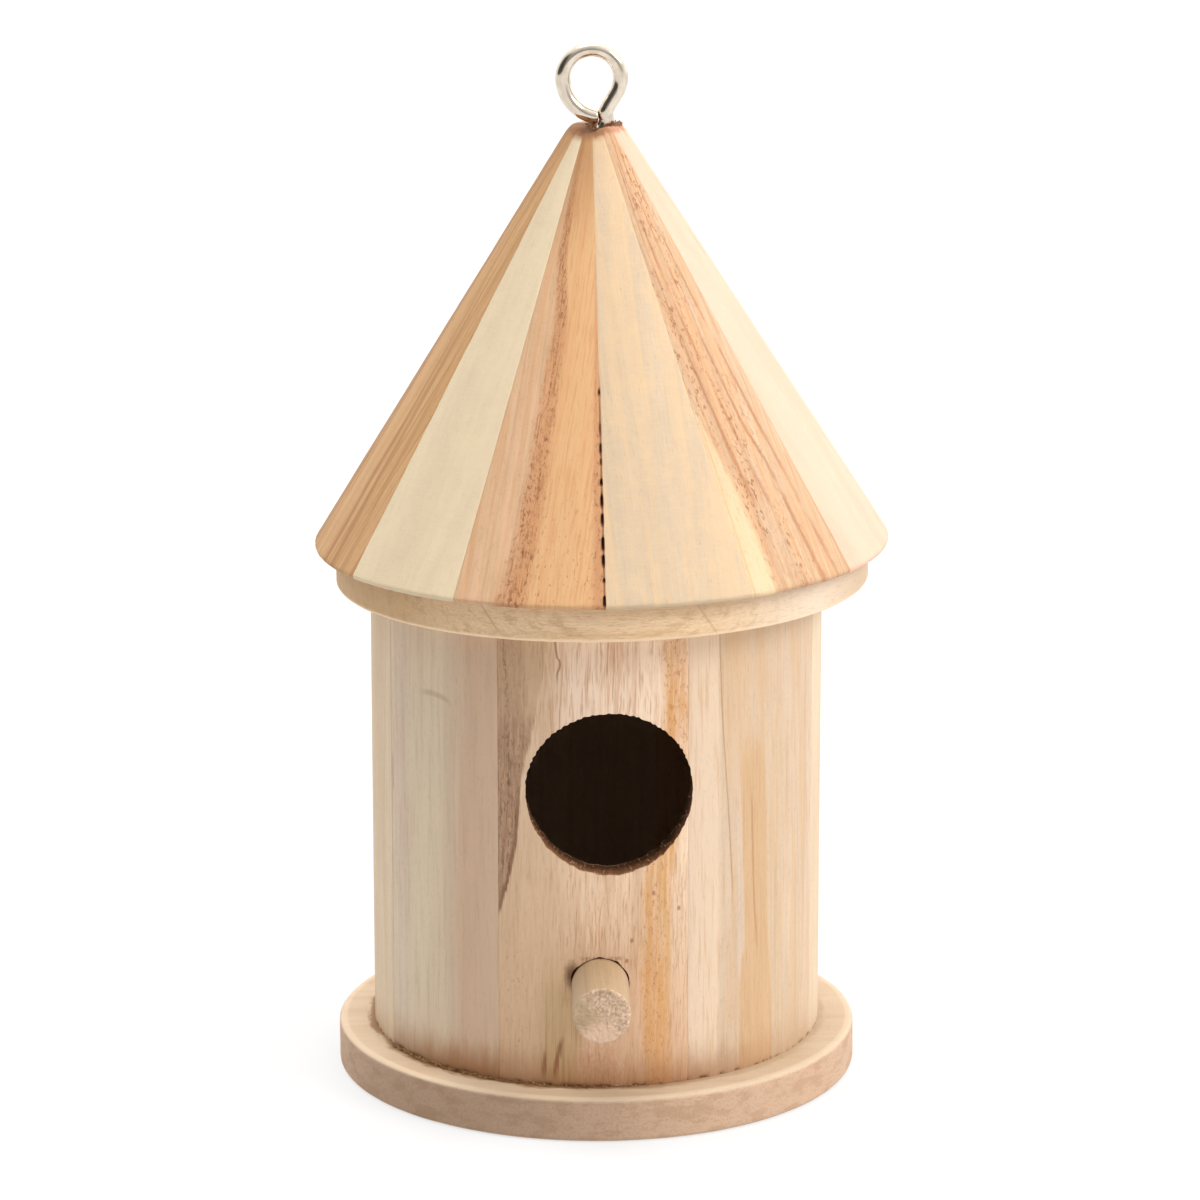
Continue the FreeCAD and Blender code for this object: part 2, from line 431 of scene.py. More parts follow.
def wall_foot_darkening(p, strength=0.85):
    """Brown tone, darker towards the wall's foot, strongest in front."""
    phi, z = p.place[:2]
    ragged = p.noise(phi * 0.35, z * 0.12, 3.3, 3.0, 0.6)
    rise = (z - 7.5) + (ragged - 0.5) * -5.0
    front = p.step(phi, -80.0, -40.0) * p.step(phi, 50.0, 15.0) * 0.75 + 0.25
    p.tone_layer(p.step(rise, 8.0, 0.3) * front * strength, 158, 108, 68)


def front_stave_details(p):
    phi, z = p.place[:2]
    across, along = p.grain
    speck = p.noise(phi * 1.5, z * 0.9, 1.7, 3.0, 0.75)
    fine = p.noise(phi * 2.8, z * 0.25, 4.1, 2.0, 0.6)
    # Painted shade: the lower part of the front stave darker and browner.
    lower_wall_shade = p.step(z, 46.0, 14.0)
    p.tone_layer(lower_wall_shade * 0.55, 204, 160, 126)
    p.tone_layer(p.step(z, 44.0, 62.0) * 0.65, 242, 218, 196)
    p.tone_layer(p.streaks(1.0, 1.7, 30.0, 0.48, 0.66) * 0.45, 206, 168, 136)
    worn = p.step(p.noise(across * 0.3, along * 0.06, 9.0, 2.0, 0.6), 0.40, 0.62)
    p.tone_layer(p.streaks(3.0, 0.45, 9.0, 0.50, 0.68) * worn * 0.75, 182, 138, 102)
    p.tone_layer(p.streaks(4.0, 0.3, 5.0, 0.53, 0.68) * 0.5, 172, 130, 98)
    over_hole = p.step(z, 64.0, 72.0) * p.between(phi, -15.0, 12.0, 2.0)
    p.tone_layer(over_hole * p.streaks(5.0, 0.9, 14.0, 0.5, 0.64) * 0.4, 190, 140, 104)
    # broad tones across the front: tan, pale pink, and an orange band that wanders
    p.tone_layer(p.step(phi, -8.0, -15.0) * 0.6, 205, 172, 139)
    centre = p.path(z, (8, 13.6), (16, 12.8), (27, 12.2), (36, 12.8), (44, 13.4), (66, 17.8), (86, 17.2))
    orange = p.stripe(phi + (fine - 0.5) * 2.0, centre, 2.4, 2.2)
    worked = p.streaks(6.0, 0.9, 16.0, 0.42, 0.62) * 0.5 + 0.5
    p.tone_layer(orange * worked * 0.9, 208, 154, 98)
    p.tone_layer(orange * p.step(speck, 0.53, 0.64) * 0.55, 172, 116, 72)
    yellow = p.stripe(phi, p.path(z, (18, 14.6), (29, 15.8), (36, 15.2), (46, 14.0)), 0.25, 0.7)
    p.tone_layer(yellow * p.between(z, 20.0, 45.0, 2.5) * 0.5, 204, 158, 93)
    # pink-brown streaks over the hole, olive ones beside and under the perch
    streak = p.step(p.noise(phi * 1.7, z * 0.05, 8.8, 2.0, 0.6), 0.52, 0.66)
    upper = p.between(phi, -1.0, 7.0, 1.5) * p.step(z, 62.0, 72.0)
    p.tone_layer(streak * upper * 0.6, 214, 166, 131)
    olive = p.between(phi, -16.0, -6.5, 1.5) * p.step(z, 34.0, 22.0)
    p.tone_layer(olive * 0.5, 190, 160, 113)
    p.tone_layer(streak * olive * 0.5, 158, 126, 85)
    # reddish flecks over the perch
    red = p.between(phi, -4.6, -0.8, 0.7) * p.between(z, 30.0, 39.0, 2.0)
    p.tone_layer(red * p.step(fine, 0.5, 0.62) * 0.55, 196, 134, 89)
    # the brown speckled tongue at the left seam, narrowing to a point
    edge = p.path(z, (36, -27.6), (39, -26.2), (45, -23.7), (53, -21.9), (60, -21.2), (67, -18.9),
                  (74, -16.8), (86, -14.0))
    inside = edge - phi + (fine - 0.5) * 1.6
    tongue = p.step(inside, -0.35, 0.5)
    pale_part = p.step(z, 66.0, 76.0) * p.step(phi, -22.0, -18.5)
    tongue_tone = p.mix(pale_part * 0.95, tone(160, 124, 98), tone(206, 176, 144))
    p.colour = p.mix(tongue * 0.9, p.colour, tongue_tone)
    spots = p.step(speck, 0.53, 0.68)
    p.tone_layer(tongue * p.streaks(7.0, 0.6, 6.0, 0.46, 0.62) * 0.5, 196, 164, 130)
    p.tone_layer(tongue * spots * (pale_part * -0.45 + 0.7), 118, 84, 58)
    p.tone_layer(tongue * p.streaks(8.0, 0.4, 7.0, 0.52, 0.64) * 0.5, 124, 88, 62)
    bright = p.step(p.noise(phi * 1.9, z * 1.1, 7.7, 2.0, 0.7), 0.58, 0.68)
    p.tone_layer(tongue * bright * 0.4, 196, 164, 135)
    rim = p.stripe(inside, 0.55, 0.2, 0.6) * p.step(z, 62.0, 52.0) * p.step(z, 35.5, 38.5)
    p.tone_layer(rim * 0.6, 118, 80, 55)
    tan = p.between(phi, -19.0, -12.5, 1.0) * p.step(z, 60.0, 70.0)
    p.tone_layer(tan * p.step(fine, 0.42, 0.58) * 0.35, 186, 150, 112)
    p.tone_layer(tongue * p.step(z, 62.0, 76.0) * 0.5, 200, 168, 136)
    inner = p.stripe(phi, p.path(z, (44, -24.8), (60, -24.2), (70, -24.8), (84, -25.6)), 0.25, 0.6)
    p.tone_layer(inner * tongue * p.step(speck, 0.42, 0.6) * 0.45, 112, 80, 59)
    # faint specks under the tongue
    below = p.between(phi, -26.5, -20.0, 1.5) * p.step(z, 36.0, 30.0)
    p.tone_layer(below * p.step(speck, 0.6, 0.68) * 0.5, 140, 104, 79)
    # a short check under the eave
    way = p.path(z, (74, -11.9), (78.4, -12.0), (80.5, -11.3), (81.6, -12.0), (86, -12.7))
    check = p.stripe(phi, way, 0.12, 0.3)
    p.tone_layer(check * p.step(z, 76.0, 79.5) * 0.75, 150, 104, 71)
    # red-brown dashes near the foot
    for points, low, high in ((((6, -13.4), (12, -12.2), (18, -10.2)), 9.0, 15.5),
                              (((6, -16.2), (10, -15.6), (16, -15.0)), 9.0, 13.0)):
        dash = p.stripe(phi + (fine - 0.5) * 1.6, p.path(z, *points), 0.15, 0.8)
        p.tone_layer(dash * p.between(z, low, high, 1.2) * 0.75, 126, 70, 42)
    under = p.between(phi, -6.5, 3.0, 2.0) * p.step(z, 19.0, 12.0)
    p.tone_layer(under * p.step(speck, 0.36, 0.6) * 0.35, 176, 112, 74)
    # Painted shade in the chipped gap at the upper left of the perch hole.
    chip_shade_x = (phi + 8.4) * 0.75
    chip_shade_z = z - 27.0
    chip_shade_reach = (chip_shade_x.op("POWER", 2.0) + (chip_shade_z * 0.6).op("POWER", 2.0)).op("SQRT")
    p.tone_layer(p.step(chip_shade_reach + (speck - 0.5) * 1.0, 2.0, 0.4) * 0.9, 108, 74, 46)
    # Painted shade along the top of the perch hole, where the dowel leaves a gap.
    hole_top_shade = p.stripe(z, 30.0, 0.15, 0.3) * p.between(phi, -6.0, 4.4, 1.0)
    p.tone_layer(hole_top_shade * p.step(speck, 0.40, 0.58) * 0.55, 138, 90, 56)
    for angle, height in ((6.5, 33.0), (18.6, 38.0), (5.2, 29.5), (12.0, 41.0)):
        dot = p.stripe(phi, angle, 0.15, 0.5) * p.stripe(z, height, 0.15, 0.4)
        p.tone_layer(dot * 0.7, 140, 92, 60)
    wall_foot_darkening(p, strength=0.6)


def right_stave_details(p):
    phi, z = p.place[:2]
    fine = p.noise(phi * 2.2, z * 0.10, 2.4, 3.0, 0.6)
    upper = p.between(phi, 30.5, 40.0, 1.2) * p.step(z, 50.0, 62.0)
    p.tone_layer(upper * 0.5, 210, 177, 143)
    left = p.path(z, (7, 36.4), (20, 36.2), (32, 38.0), (46, 37.2), (64, 36.4))
    right = p.path(z, (7, 48.4), (18, 48.3), (31, 46.4), (46, 45.8), (64, 44.6))
    wobble = (fine - 0.5) * 1.4
    band = p.step(phi - left + wobble, -0.5, 0.6) * p.step(right - phi + wobble, -0.5, 0.8)
    band = band * p.step(z, 68.0, 60.0)
    p.tone_layer(band * 0.75, 201, 163, 121)
    p.tone_layer(band * p.step(fine, 0.5, 0.64) * 0.35, 186, 141, 99)
    p.tone_layer(p.step(phi, 31.0, 29.0) * 0.75, 226, 200, 174)
    p.tone_layer(p.streaks(2.0, 0.5, 12.0, 0.50, 0.68) * 0.45, 198, 158, 120)
    p.tone_layer(p.step(phi, 30.0, 34.0) * p.streaks(7.0, 1.8, 30.0, 0.46, 0.64) * 0.5, 206, 168, 130)
    way = p.path(z, (34, 34.5), (46, 33.4), (52, 32.8), (60.7, 31.7), (72.7, 30.4), (86, 29.6))
    line = p.stripe(phi, way, 0.06, 0.28)
    p.tone_layer(line * p.step(z, 34.0, 44.0) * 0.55, 159, 123, 90)
    line = p.stripe(phi, p.path(z, (24, 42.6), (31, 42.0), (37, 41.2), (45, 40.7), (58, 40.1)), 0.12, 0.4)
    p.tone_layer(line * p.between(z, 29.0, 55.0, 4.0) * 0.6, 172, 125, 83)
    for angle, low, high, strength in ((54.2, 50, 66, 0.35), (49.4, 22, 44, 0.35), (59.3, 12, 40, 0.3),
                                       (64.0, 30, 78, 0.3), (35.2, 8, 44, 0.25)):
        mask = p.stripe(phi, angle, 0.25, 0.6) * p.between(z, low, high, 5.0)
        p.tone_layer(mask * strength, 186, 155, 123)
    wall_foot_darkening(p)


def left_stave_details(p):
    phi, z = p.place[:2]
    wide = p.noise(phi * 0.10, z * 0.02, 6.6, 2.0)
    p.tone_layer(p.step(phi + (wide - 0.5) * 12.0, -46.0, -36.0) * 0.7, 200, 165, 136)
    p.tone_layer(p.between(phi, -57.0, -41.0, 4.0) * 0.6, 212, 193, 164)
    p.tone_layer(p.streaks(2.0, 0.8, 14.0, 0.5, 0.70) * 0.3, 176, 150, 124)
    p.tone_layer(p.streaks(4.0, 3.5, 90.0, 0.45, 0.62) * 0.3, 190, 164, 138)
    mark = p.stripe(z, p.path(phi, (-52, 72.0), (-47, 72.4), (-41, 71.0)), 0.15, 0.6)
    p.tone_layer(mark * p.between(phi, -51.0, -42.0, 2.0) * 0.35, 150, 118, 88)
    dash = p.stripe(phi, -65.6, 0.2, 0.5) * p.between(z, 53.0, 59.0, 1.0)
    p.tone_layer(dash * 0.4, 150, 120, 96)
    wall_foot_darkening(p)


def plain_stave_details(p):
    wall_foot_darkening(p, strength=0.35)


def wedge_02_details(p):
    phi, s = p.place[:2]
    across, along = p.grain
    speck = p.noise(phi * 1.2, s * 0.8, 1.1, 3.0, 0.8)
    fine = p.noise(phi * 2.0, s * 0.12, 5.5, 2.0, 0.6)
    side = phi - p.path(s, (0, -20.4), (8, -19.4), (22, -18.7), (36, -18.7), (48, -18.4), (56, -20.5),
                        (64, -23.5), (84, -25.0))
    p.tone_layer(p.step(side, -1.0, 2.5) * 0.85, 205, 160, 113)
    tone_layer = p.step(side.size() + (fine - 0.5) * 2.4, 4.0, 1.2)
    p.tone_layer(tone_layer * 0.75, 184, 130, 88)
    p.tone_layer(tone_layer * p.step(speck, 0.51, 0.62) * 0.8, 120, 72, 44)
    p.tone_layer(tone_layer * p.streaks(8.0, 0.4, 6.0, 0.5, 0.62) * 0.5, 136, 84, 52)
    line = p.stripe(side, 0.2, 0.12, 0.5)
    p.tone_layer(line * p.step(speck, 0.44, 0.58) * 0.6, 127, 82, 50)
    left_part = p.step(side, 0.5, -2.0)
    p.tone_layer(p.streaks(3.0, 0.45, 8.0, 0.48, 0.64) * p.step(side, -2.0, 1.0) * 0.55, 190, 136, 92)
    p.tone_layer(p.streaks(5.0, 1.8, 60.0, 0.48, 0.62) * 0.35, 200, 146, 100)
    p.tone_layer(left_part * p.streaks(9.0, 1.6, 18.0, 0.46, 0.66) * 0.4, 214, 172, 138)
    low_marks = p.step(p.noise(across * 1.8, along * 0.7, 6.0, 2.0, 0.7), 0.60, 0.68) * p.step(s, 34.0, 4.0)
    p.tone_layer(low_marks * p.step(side, -4.0, -1.0) * 0.6, 150, 94, 58)
    strip = p.step(phi, -4.8, -3.2)
    p.tone_layer(strip * p.step(s, 72.0, 50.0) * 0.8, 183, 131, 92)
    p.tone_layer(strip * p.step(speck, 0.52, 0.64) * p.step(s, 50.0, 30.0) * 0.6, 127, 73, 44)
    left = p.step(phi, -31.0, -33.6)
    p.tone_layer(left * 0.4, 181, 143, 104)
    p.tone_layer(p.step(s, 58.0, 84.0) * 0.75, 159, 116, 75)


def wedge_03_details(p):
    s = p.place[1]
    across, along = p.grain
    p.tone_layer(p.streaks(2.0, 0.9, 45.0, 0.5, 0.68) * 0.35, 212, 177, 132)
    p.tone_layer(p.streaks(4.0, 4.0, 80.0, 0.45, 0.62) * 0.3, 216, 181, 138)
    mottle = p.step(p.noise(across * 0.35, along * 0.25, 7.0, 3.0, 0.6), 0.5, 0.64)
    p.tone_layer(mottle * 0.2, 216, 183, 138)
    p.tone_layer(p.step(s, 72.0, 88.0) * 0.5, 204, 169, 126)


def wedge_04_details(p):
    phi, s = p.place[:2]
    across, along = p.grain
    speck = p.noise(across * 1.6, along * 0.6, 2.2, 2.0, 0.7)
    p.tone_layer(p.streaks(1.0, 1.6, 40.0, 0.46, 0.60) * 0.5, 208, 159, 116)
    p.tone_layer(p.streaks(8.0, 0.42, 10.0, 0.48, 0.62) * 0.6, 191, 142, 101)
    lines = (((0, 46.6), (10, 45.8), (21, 45.0), (30, 42.4), (44, 40.6), (62, 37.0)),
             ((0, 51.0), (14, 50.2), (30, 48.4), (48, 46.0), (66, 42.0)),
             ((0, 41.4), (12, 40.6), (28, 38.4), (44, 35.4), (62, 31.2)),
             ((0, 37.8), (10, 36.8), (24, 34.8), (40, 32.0)))
    for number, points in enumerate(lines):
        line = p.stripe(phi + (speck - 0.5) * 1.4, p.path(s, *points), 0.2, 0.7)
        broken = p.step(p.noise(phi * 0.2, s * 0.12, number * 3.7 + 0.5, 2.0), 0.34, 0.56)
        p.tone_layer(line * broken * 0.6, 158, 102, 66)
    marks = p.step(p.noise(across * 2.0, along * 0.8, 3.3, 2.0, 0.7), 0.55, 0.64)
    flecked = p.step(p.noise(across * 0.35, along * 0.06, 5.3, 2.0, 0.6), 0.38, 0.58) * 0.8 + 0.2
    p.tone_layer(marks * flecked * p.step(phi, 50.0, 40.0) * 0.75, 140, 90, 58)
    p.tone_layer(p.step(phi - p.path(s, (0, 54.2), (40, 53.4), (84, 49.0)), 0.0, 0.8) * 0.4, 170, 126, 85)
    edge = p.path(s, (0, 33.6), (17, 32.4), (30, 28.6), (40, 24.4), (84, 8.0))
    pale = p.step(edge - phi + (speck - 0.5) * 1.2, -0.9, 0.9)
    p.tone_layer(pale * (p.step(s, 30.0, 4.0) * 0.25 + 0.5), 222, 196, 158)
    line = p.stripe(phi - p.path(s, (0, 28.3), (20, 28.0), (40, 27.2), (84, 24.0)), 0.25, 0.1, 0.3)
    p.tone_layer(line * p.step(s, 50.0, 30.0) * 0.4, 183, 148, 103)


def wedge_06_details(p):
    """Pale sapwood along the wedge's first edge."""
    edge = p.noise(p.grain[0] * 0.3, p.grain[1] * 0.05, 4.4, 2.0) * 2.0
    p.tone_layer(p.step(p.place[0] + edge, 106.0, 104.0), 236, 178, 152)


def wedge_11_details(p):
    """Brown heartwood along the wedge's last edge."""
    edge = p.noise(p.grain[0] * 0.3, p.grain[1] * 0.05, 2.4, 2.0) * 2.0
    p.tone_layer(p.step(p.place[0] + edge, 256.0, 258.0), 168, 126, 84)


def wedge_12_details(p):
    phi, s = p.place[:2]
    phi = phi - 360.0
    wobble = p.noise(phi * 0.4, s * 0.08, 3.2, 2.0, 0.6) - 0.5
    fading = p.step(s, 66.0, 16.0) * 0.5 + 0.3
    for points, width, strength in ((((0, -74.6), (20, -74.0), (45, -73.0), (84, -70.0)), 0.3, 0.95),
                                    (((0, -70.4), (18, -70.4), (40, -69.6), (84, -66.0)), 0.35, 0.85),
                                    (((0, -65.2), (30, -64.4), (84, -60.0)), 0.25, 0.5)):
        line = p.stripe(phi + wobble * 2.0, p.path(s, *points), width, 1.2)
        p.tone_layer(line * fading * strength, 158, 112, 70)
    p.tone_layer(p.streaks(6.0, 0.8, 40.0, 0.5, 0.66) * 0.4, 170, 126, 82)
    p.tone_layer(p.step(s, 66.0, 84.0) * 0.5, 176, 132, 92)


PALE_BOARD = dict(pale=(217, 196, 168), deep=(210, 185, 155), line=(194, 165, 133),
                  ring_strength=0.25, fibre=0.10, pores=0.2)
TAN_BOARD = dict(pale=(226, 196, 162), deep=(212, 176, 138), line=(182, 142, 104),
                 ring_strength=0.45, fibre=0.16, pores=0.4)
STAVE_WOODS = {
    1: dict(pale=(213, 194, 171), deep=(205, 182, 161), line=(183, 157, 133),
            ring_strength=0.25, fibre=0.10, pores=0.25, details=left_stave_details),
    2: dict(pale=(229, 199, 169), deep=(217, 185, 155), line=(195, 156, 121), ring_size=1.2,
            ring_strength=0.35, fibre=0.16, pores=0.4, details=front_stave_details),
    3: dict(pale=(207, 183, 159), deep=(203, 178, 150), line=(185, 154, 124),
            ring_strength=0.22, fibre=0.09, pores=0.2, details=right_stave_details),
}


def stave_material(number):
    look = STAVE_WOODS.get(number)
    if look is None:
        board = TAN_BOARD if number in (5, 7) else PALE_BOARD
        look = dict(board, details=plain_stave_details)
    return wood("stave_wood_%d" % number, **look)


CREAM_BOARD = dict(pale=(213, 195, 164), deep=(209, 189, 159), line=(197, 173, 139),
                   ring_size=3.0, ring_strength=0.15, fibre=0.05, pores=0.08, hatch=0.05)
BROWN_BOARD = dict(pale=(202, 155, 114), deep=(190, 139, 97), line=(154, 101, 63),
                   ring_strength=0.55, fibre=0.16, pores=0.45, specks=0.25)
WEDGE_WOODS = {
    1: dict(CREAM_BOARD),
    2: dict(pale=(201, 166, 133), deep=(196, 159, 124), line=(173, 127, 89), ring_size=1.2,
            ring_strength=0.3, fibre=0.16, pores=0.35, hatch=0.08, details=wedge_02_details),
    3: dict(pale=(196, 174, 148), deep=(194, 171, 144), line=(182, 155, 122), ring_size=3.0,
            ring_strength=0.15, fibre=0.06, pores=0.1, hatch=0.07, details=wedge_03_details),
    4: dict(pale=(197, 167, 137), deep=(192, 159, 127), line=(165, 123, 89), ring_size=1.0,
            ring_strength=0.4, fibre=0.16, pores=0.35, specks=0.15, details=wedge_04_details),
    5: dict(pale=(237, 181, 158), deep=(234, 176, 152), line=(220, 162, 132), ring_size=4.0,
            ring_strength=0.12, fibre=0.04, pores=0.05, hatch=0.03),
    6: dict(BROWN_BOARD, details=wedge_06_details),
    11: dict(CREAM_BOARD, details=wedge_11_details),
    12: dict(pale=(195, 153, 108), deep=(184, 141, 95), line=(151, 105, 63), ring_size=1.4,
             ring_strength=0.45, fibre=0.16, pores=0.35, details=wedge_12_details),
}


def wedge_material(number):
    look = WEDGE_WOODS.get(number)
    if look is None:
        look = BROWN_BOARD if number % 2 == 0 else CREAM_BOARD
    return wood("wedge_wood_%02d" % number, **look)


# ---- wall ----
def bore(name, x, z, sides, depths, radius_at):
    """Closed ragged tube along Y: radius_at gives a ring's radii at a depth."""
    turn = circle(sides)
    rings = []
    for y in depths:
        radius = radius_at(y)
        rings.append(np.stack([x + radius * np.cos(turn), np.full(sides, -y), z + radius * np.sin(turn)], -1))
    return make_object(name, np.array(rings).reshape(-1, 3), tube_faces(len(rings), sides))


def entrance_cutter():
    """Ragged round bore: saw-toothed over the top, torn along the lower rim."""
    sides = 360
    turn = circle(sides)
    up = np.sin(turn)
    uneven = np.arange(sides) / 5.4 + rough(np.stack([turn, turn * 0, turn * 0], -1), 0.3, 8) * 0.6
    teeth = np.abs(uneven % 1.0 - 0.3) * smooth(-0.2, 0.6, up) * 0.36

    def radius_at(y):
        spots = np.stack([np.cos(turn) * 14, np.full(sides, y * 0.35), up * 14], -1)
        lumps = rough(spots, 1.2, 3) * (0.13 + 0.05 * smooth(0.1, -0.7, up))
        tear = np.maximum(0, rough(spots, 0.6, 9)) * 0.2 * smooth(0.0, -0.6, up)
        return ENTRANCE_RADIUS + lumps + teeth * 0.85 - tear - 0.1

    depths = [20.0, *np.arange(30.0, 42.0, 0.5)]
    return bore("entrance_cutter", ENTRANCE_X, ENTRANCE_Z, sides, depths, radius_at)


def perch_cutter():
    """Loose bore for the dowel, chipped in four places, most at its upper left."""
    sides = 144
    turn = circle(sides)
    chips = ((154.0, 15.0, 0.42), (92.0, 5.0, 0.16), (56.0, 8.0, 0.26), (18.0, 16.0, 0.12))
    chipped = sum(bell(np.degrees(turn), angle, width) * size for angle, width, size in chips)

    def radius_at(y):
        spots = np.stack([np.cos(turn) * 5, np.full(sides, y * 0.5), np.sin(turn) * 5], -1)
        return PERCH_RADIUS + 0.05 + rough(spots, 0.9, 5) * 0.06 + chipped * smooth(36.6, 38.0, y)

    depths = [20.0, *np.arange(31.0, 42.0, 0.5)]
    return bore("perch_cutter", PERCH_X - 0.1, PERCH_HOLE_Z, sides, depths, radius_at)


def wall_top(points):
    """Height of the slanted saw cut that the eave disc sits on."""
    level = seat(np.array([[0, 0, WALL_TOP_Z], [1, 0, WALL_TOP_Z], [0, 1, WALL_TOP_Z]], float))
    normal = np.cross(level[1] - level[0], level[2] - level[0])
    lean = normal[0] * (points[..., 0] - level[0][0]) + normal[1] * (points[..., 1] - level[0][1])
    return level[0][2] - lean / normal[2]


def columns_of(start, end, radius, step, close):
    """Directions of a piece's mesh columns, closer together near its two seams."""
    inset = math.degrees(SEAM_INSET / radius)
    width = math.radians(end - start) * radius
    return start + inset + spaced(0, width, step, close) / width * (end - start - 2 * inset)


def make_stave(number, start, end):
    step = 0.5 if number in (1, 2, 3) else 0.9
    columns = columns_of(start, end, WALL_RADIUS, step, [0.07, 0.18, 0.36, 0.7])
    heights = spaced(0, 1, step / 78.0, [0.0015, 0.004, 0.008, 0.013])
    radii = np.concatenate([np.full(len(heights), WALL_RADIUS), [36.3, 34.5],
                            np.full(28, WALL_INNER_RADIUS), [34.5, 36.3]])
    levels = np.concatenate([heights, [1, 1], np.linspace(1, 0, 28), [0, 0]])
    outer = np.concatenate([np.ones(len(heights)), np.zeros(32)])
    grid = around(radii[None, :], columns[:, None], np.zeros((1, len(radii))))
    grid[..., 2] = FLOOR_Z + levels * (wall_top(grid) - FLOOR_Z)
    arc = np.radians(np.minimum(columns - columns[0], columns[-1] - columns)) * WALL_RADIUS
    sunk = bell(arc, 0, 0.16)[:, None] * 0.06
    wave = rough(grid * [1, 1, 0.12], 5.0, number) * 0.05
    fibre = rough(grid * [1, 1, 0.06], 0.9, number + 20, 2) * 0.012
    torn = rough(grid * [1, 1, 0.4], 1.1, 31) + 0.25
    ragged = smooth(0.9, 0.0, grid[..., 2] - FLOOR_Z) * np.clip(torn, 0, 1) * 0.35
    shrink = (sunk - wave - fibre + ragged) * outer
    grid[..., :2] *= 1 - (shrink / radii)[..., None]
    name = "wall_stave_%d" % number
    piece = make_object(name + "_shaped", grid.reshape(-1, 3), tube_faces(len(columns), len(radii)))
    if number == 2:
        cut(piece, entrance_cutter(), perch_cutter())
    if number == 3:
        cut(piece, entrance_cutter())
    points = positions(piece)
    phi, radius = polar(points, start)
    z = points[:, 2]
    depth = WALL_RADIUS - radius
    tilt = {1: 0.01, 2: -0.02, 3: 0.02}.get(number, 0.015 * ((number * 7) % 5 - 2))
    across = np.radians(phi - (start + end) / 2) * WALL_RADIUS + z * tilt
    # Painted shade, kept in 'dark': the wood darker deeper into the entrance and inside the house, and at the
    # wall's foot where it meets the base.
    hollow_shade = 0.33 + smooth(0.1, 1.6, depth) * 0.26 + smooth(1.6, 4.5, depth) * 0.3
    hollow_shade = np.where(depth > 5.45, 0.24, hollow_shade) * (depth > 0.12)
    contact = smooth(0.55, 0.0, z - FLOOR_Z - np.clip(rough(points, 0.9, 41), 0, 1) * 0.5)
    side_fade = 0.35 + 0.65 * smooth(40.0, 5.0, phi)
    slot = "wall_wood_brown" if number in (2, 5, 7) else "wall_wood_pale"
    finish_piece(piece, "house", name, slot, stave_material(number),
                 dark=hollow_shade + contact * 0.3 * side_fade * (depth < 1.0),
                 grain=(across + number * 53.0, radius + number * 11.0, z + number * 97.0),
                 place=(phi, z, depth))


def make_ring(front_seams, count, make_piece):
    seams = seams_of(front_seams, count)
    for number, (start, end) in enumerate(zip(seams[:-1], seams[1:]), 1):
        make_piece(number, start, end)


# ---- roof ----
GAP_NOTCHES = ((37.2, 0.5, 0.5), (30.9, 1.0, 0.25), (27.5, 0.9, 0.5), (25.2, 0.5, 0.35), (21.7, 0.5, 0.8),
               (18.6, 1.0, 0.9), (15.4, 0.85, 0.9), (11.3, 1.1, 1.0), (8.4, 0.85, 1.0), (5.0, 0.35, 0.7),
               (1.5, 0.8, 0.9))


def gap_at(s):
    """How far the centre seam is open, 0 to 1, at a distance up the slope."""
    opened = np.zeros_like(s)
    for centre, half_length, amount in GAP_NOTCHES:
        notch = smooth(half_length * 1.25, half_length * 0.6, np.abs(s - centre))
        opened = np.maximum(opened, amount * notch)
    return opened


def tip_cutter():
    """Hole torn in the tip round the neck of the screw eye, deepest in front."""
    sides = 72
    turn = circle(sides)
    front = bell(np.degrees(turn), 247.0, 24.0)
    rings = []
    for z, radius in ((138.0, 1.33), (157.5, 1.33), (159.6, 1.4), (160.4, 1.7), (161.2, 2.1), (162.0, 2.5),
                      (163.5, 3.1)):
        spots = np.stack([np.cos(turn) * 3, np.sin(turn) * 3, np.full(sides, z)], -1)
        size = radius + smooth(160.0, 162.5, z) * (rough(spots, 0.9, 12) * 0.4 + front * 2.6)
        rings.append(np.stack([SCREW_X + size * np.cos(turn), size * np.sin(turn), np.full(sides, z)], -1))
    return make_object("tip_cutter", seat(np.array(rings)).reshape(-1, 3), tube_faces(len(rings), sides))


def cone_radius(z):
    """Radius of the roof's outside at a height."""
    return RIM_RADIUS - (z - ROOF_Z) * SLOPE_RATIO


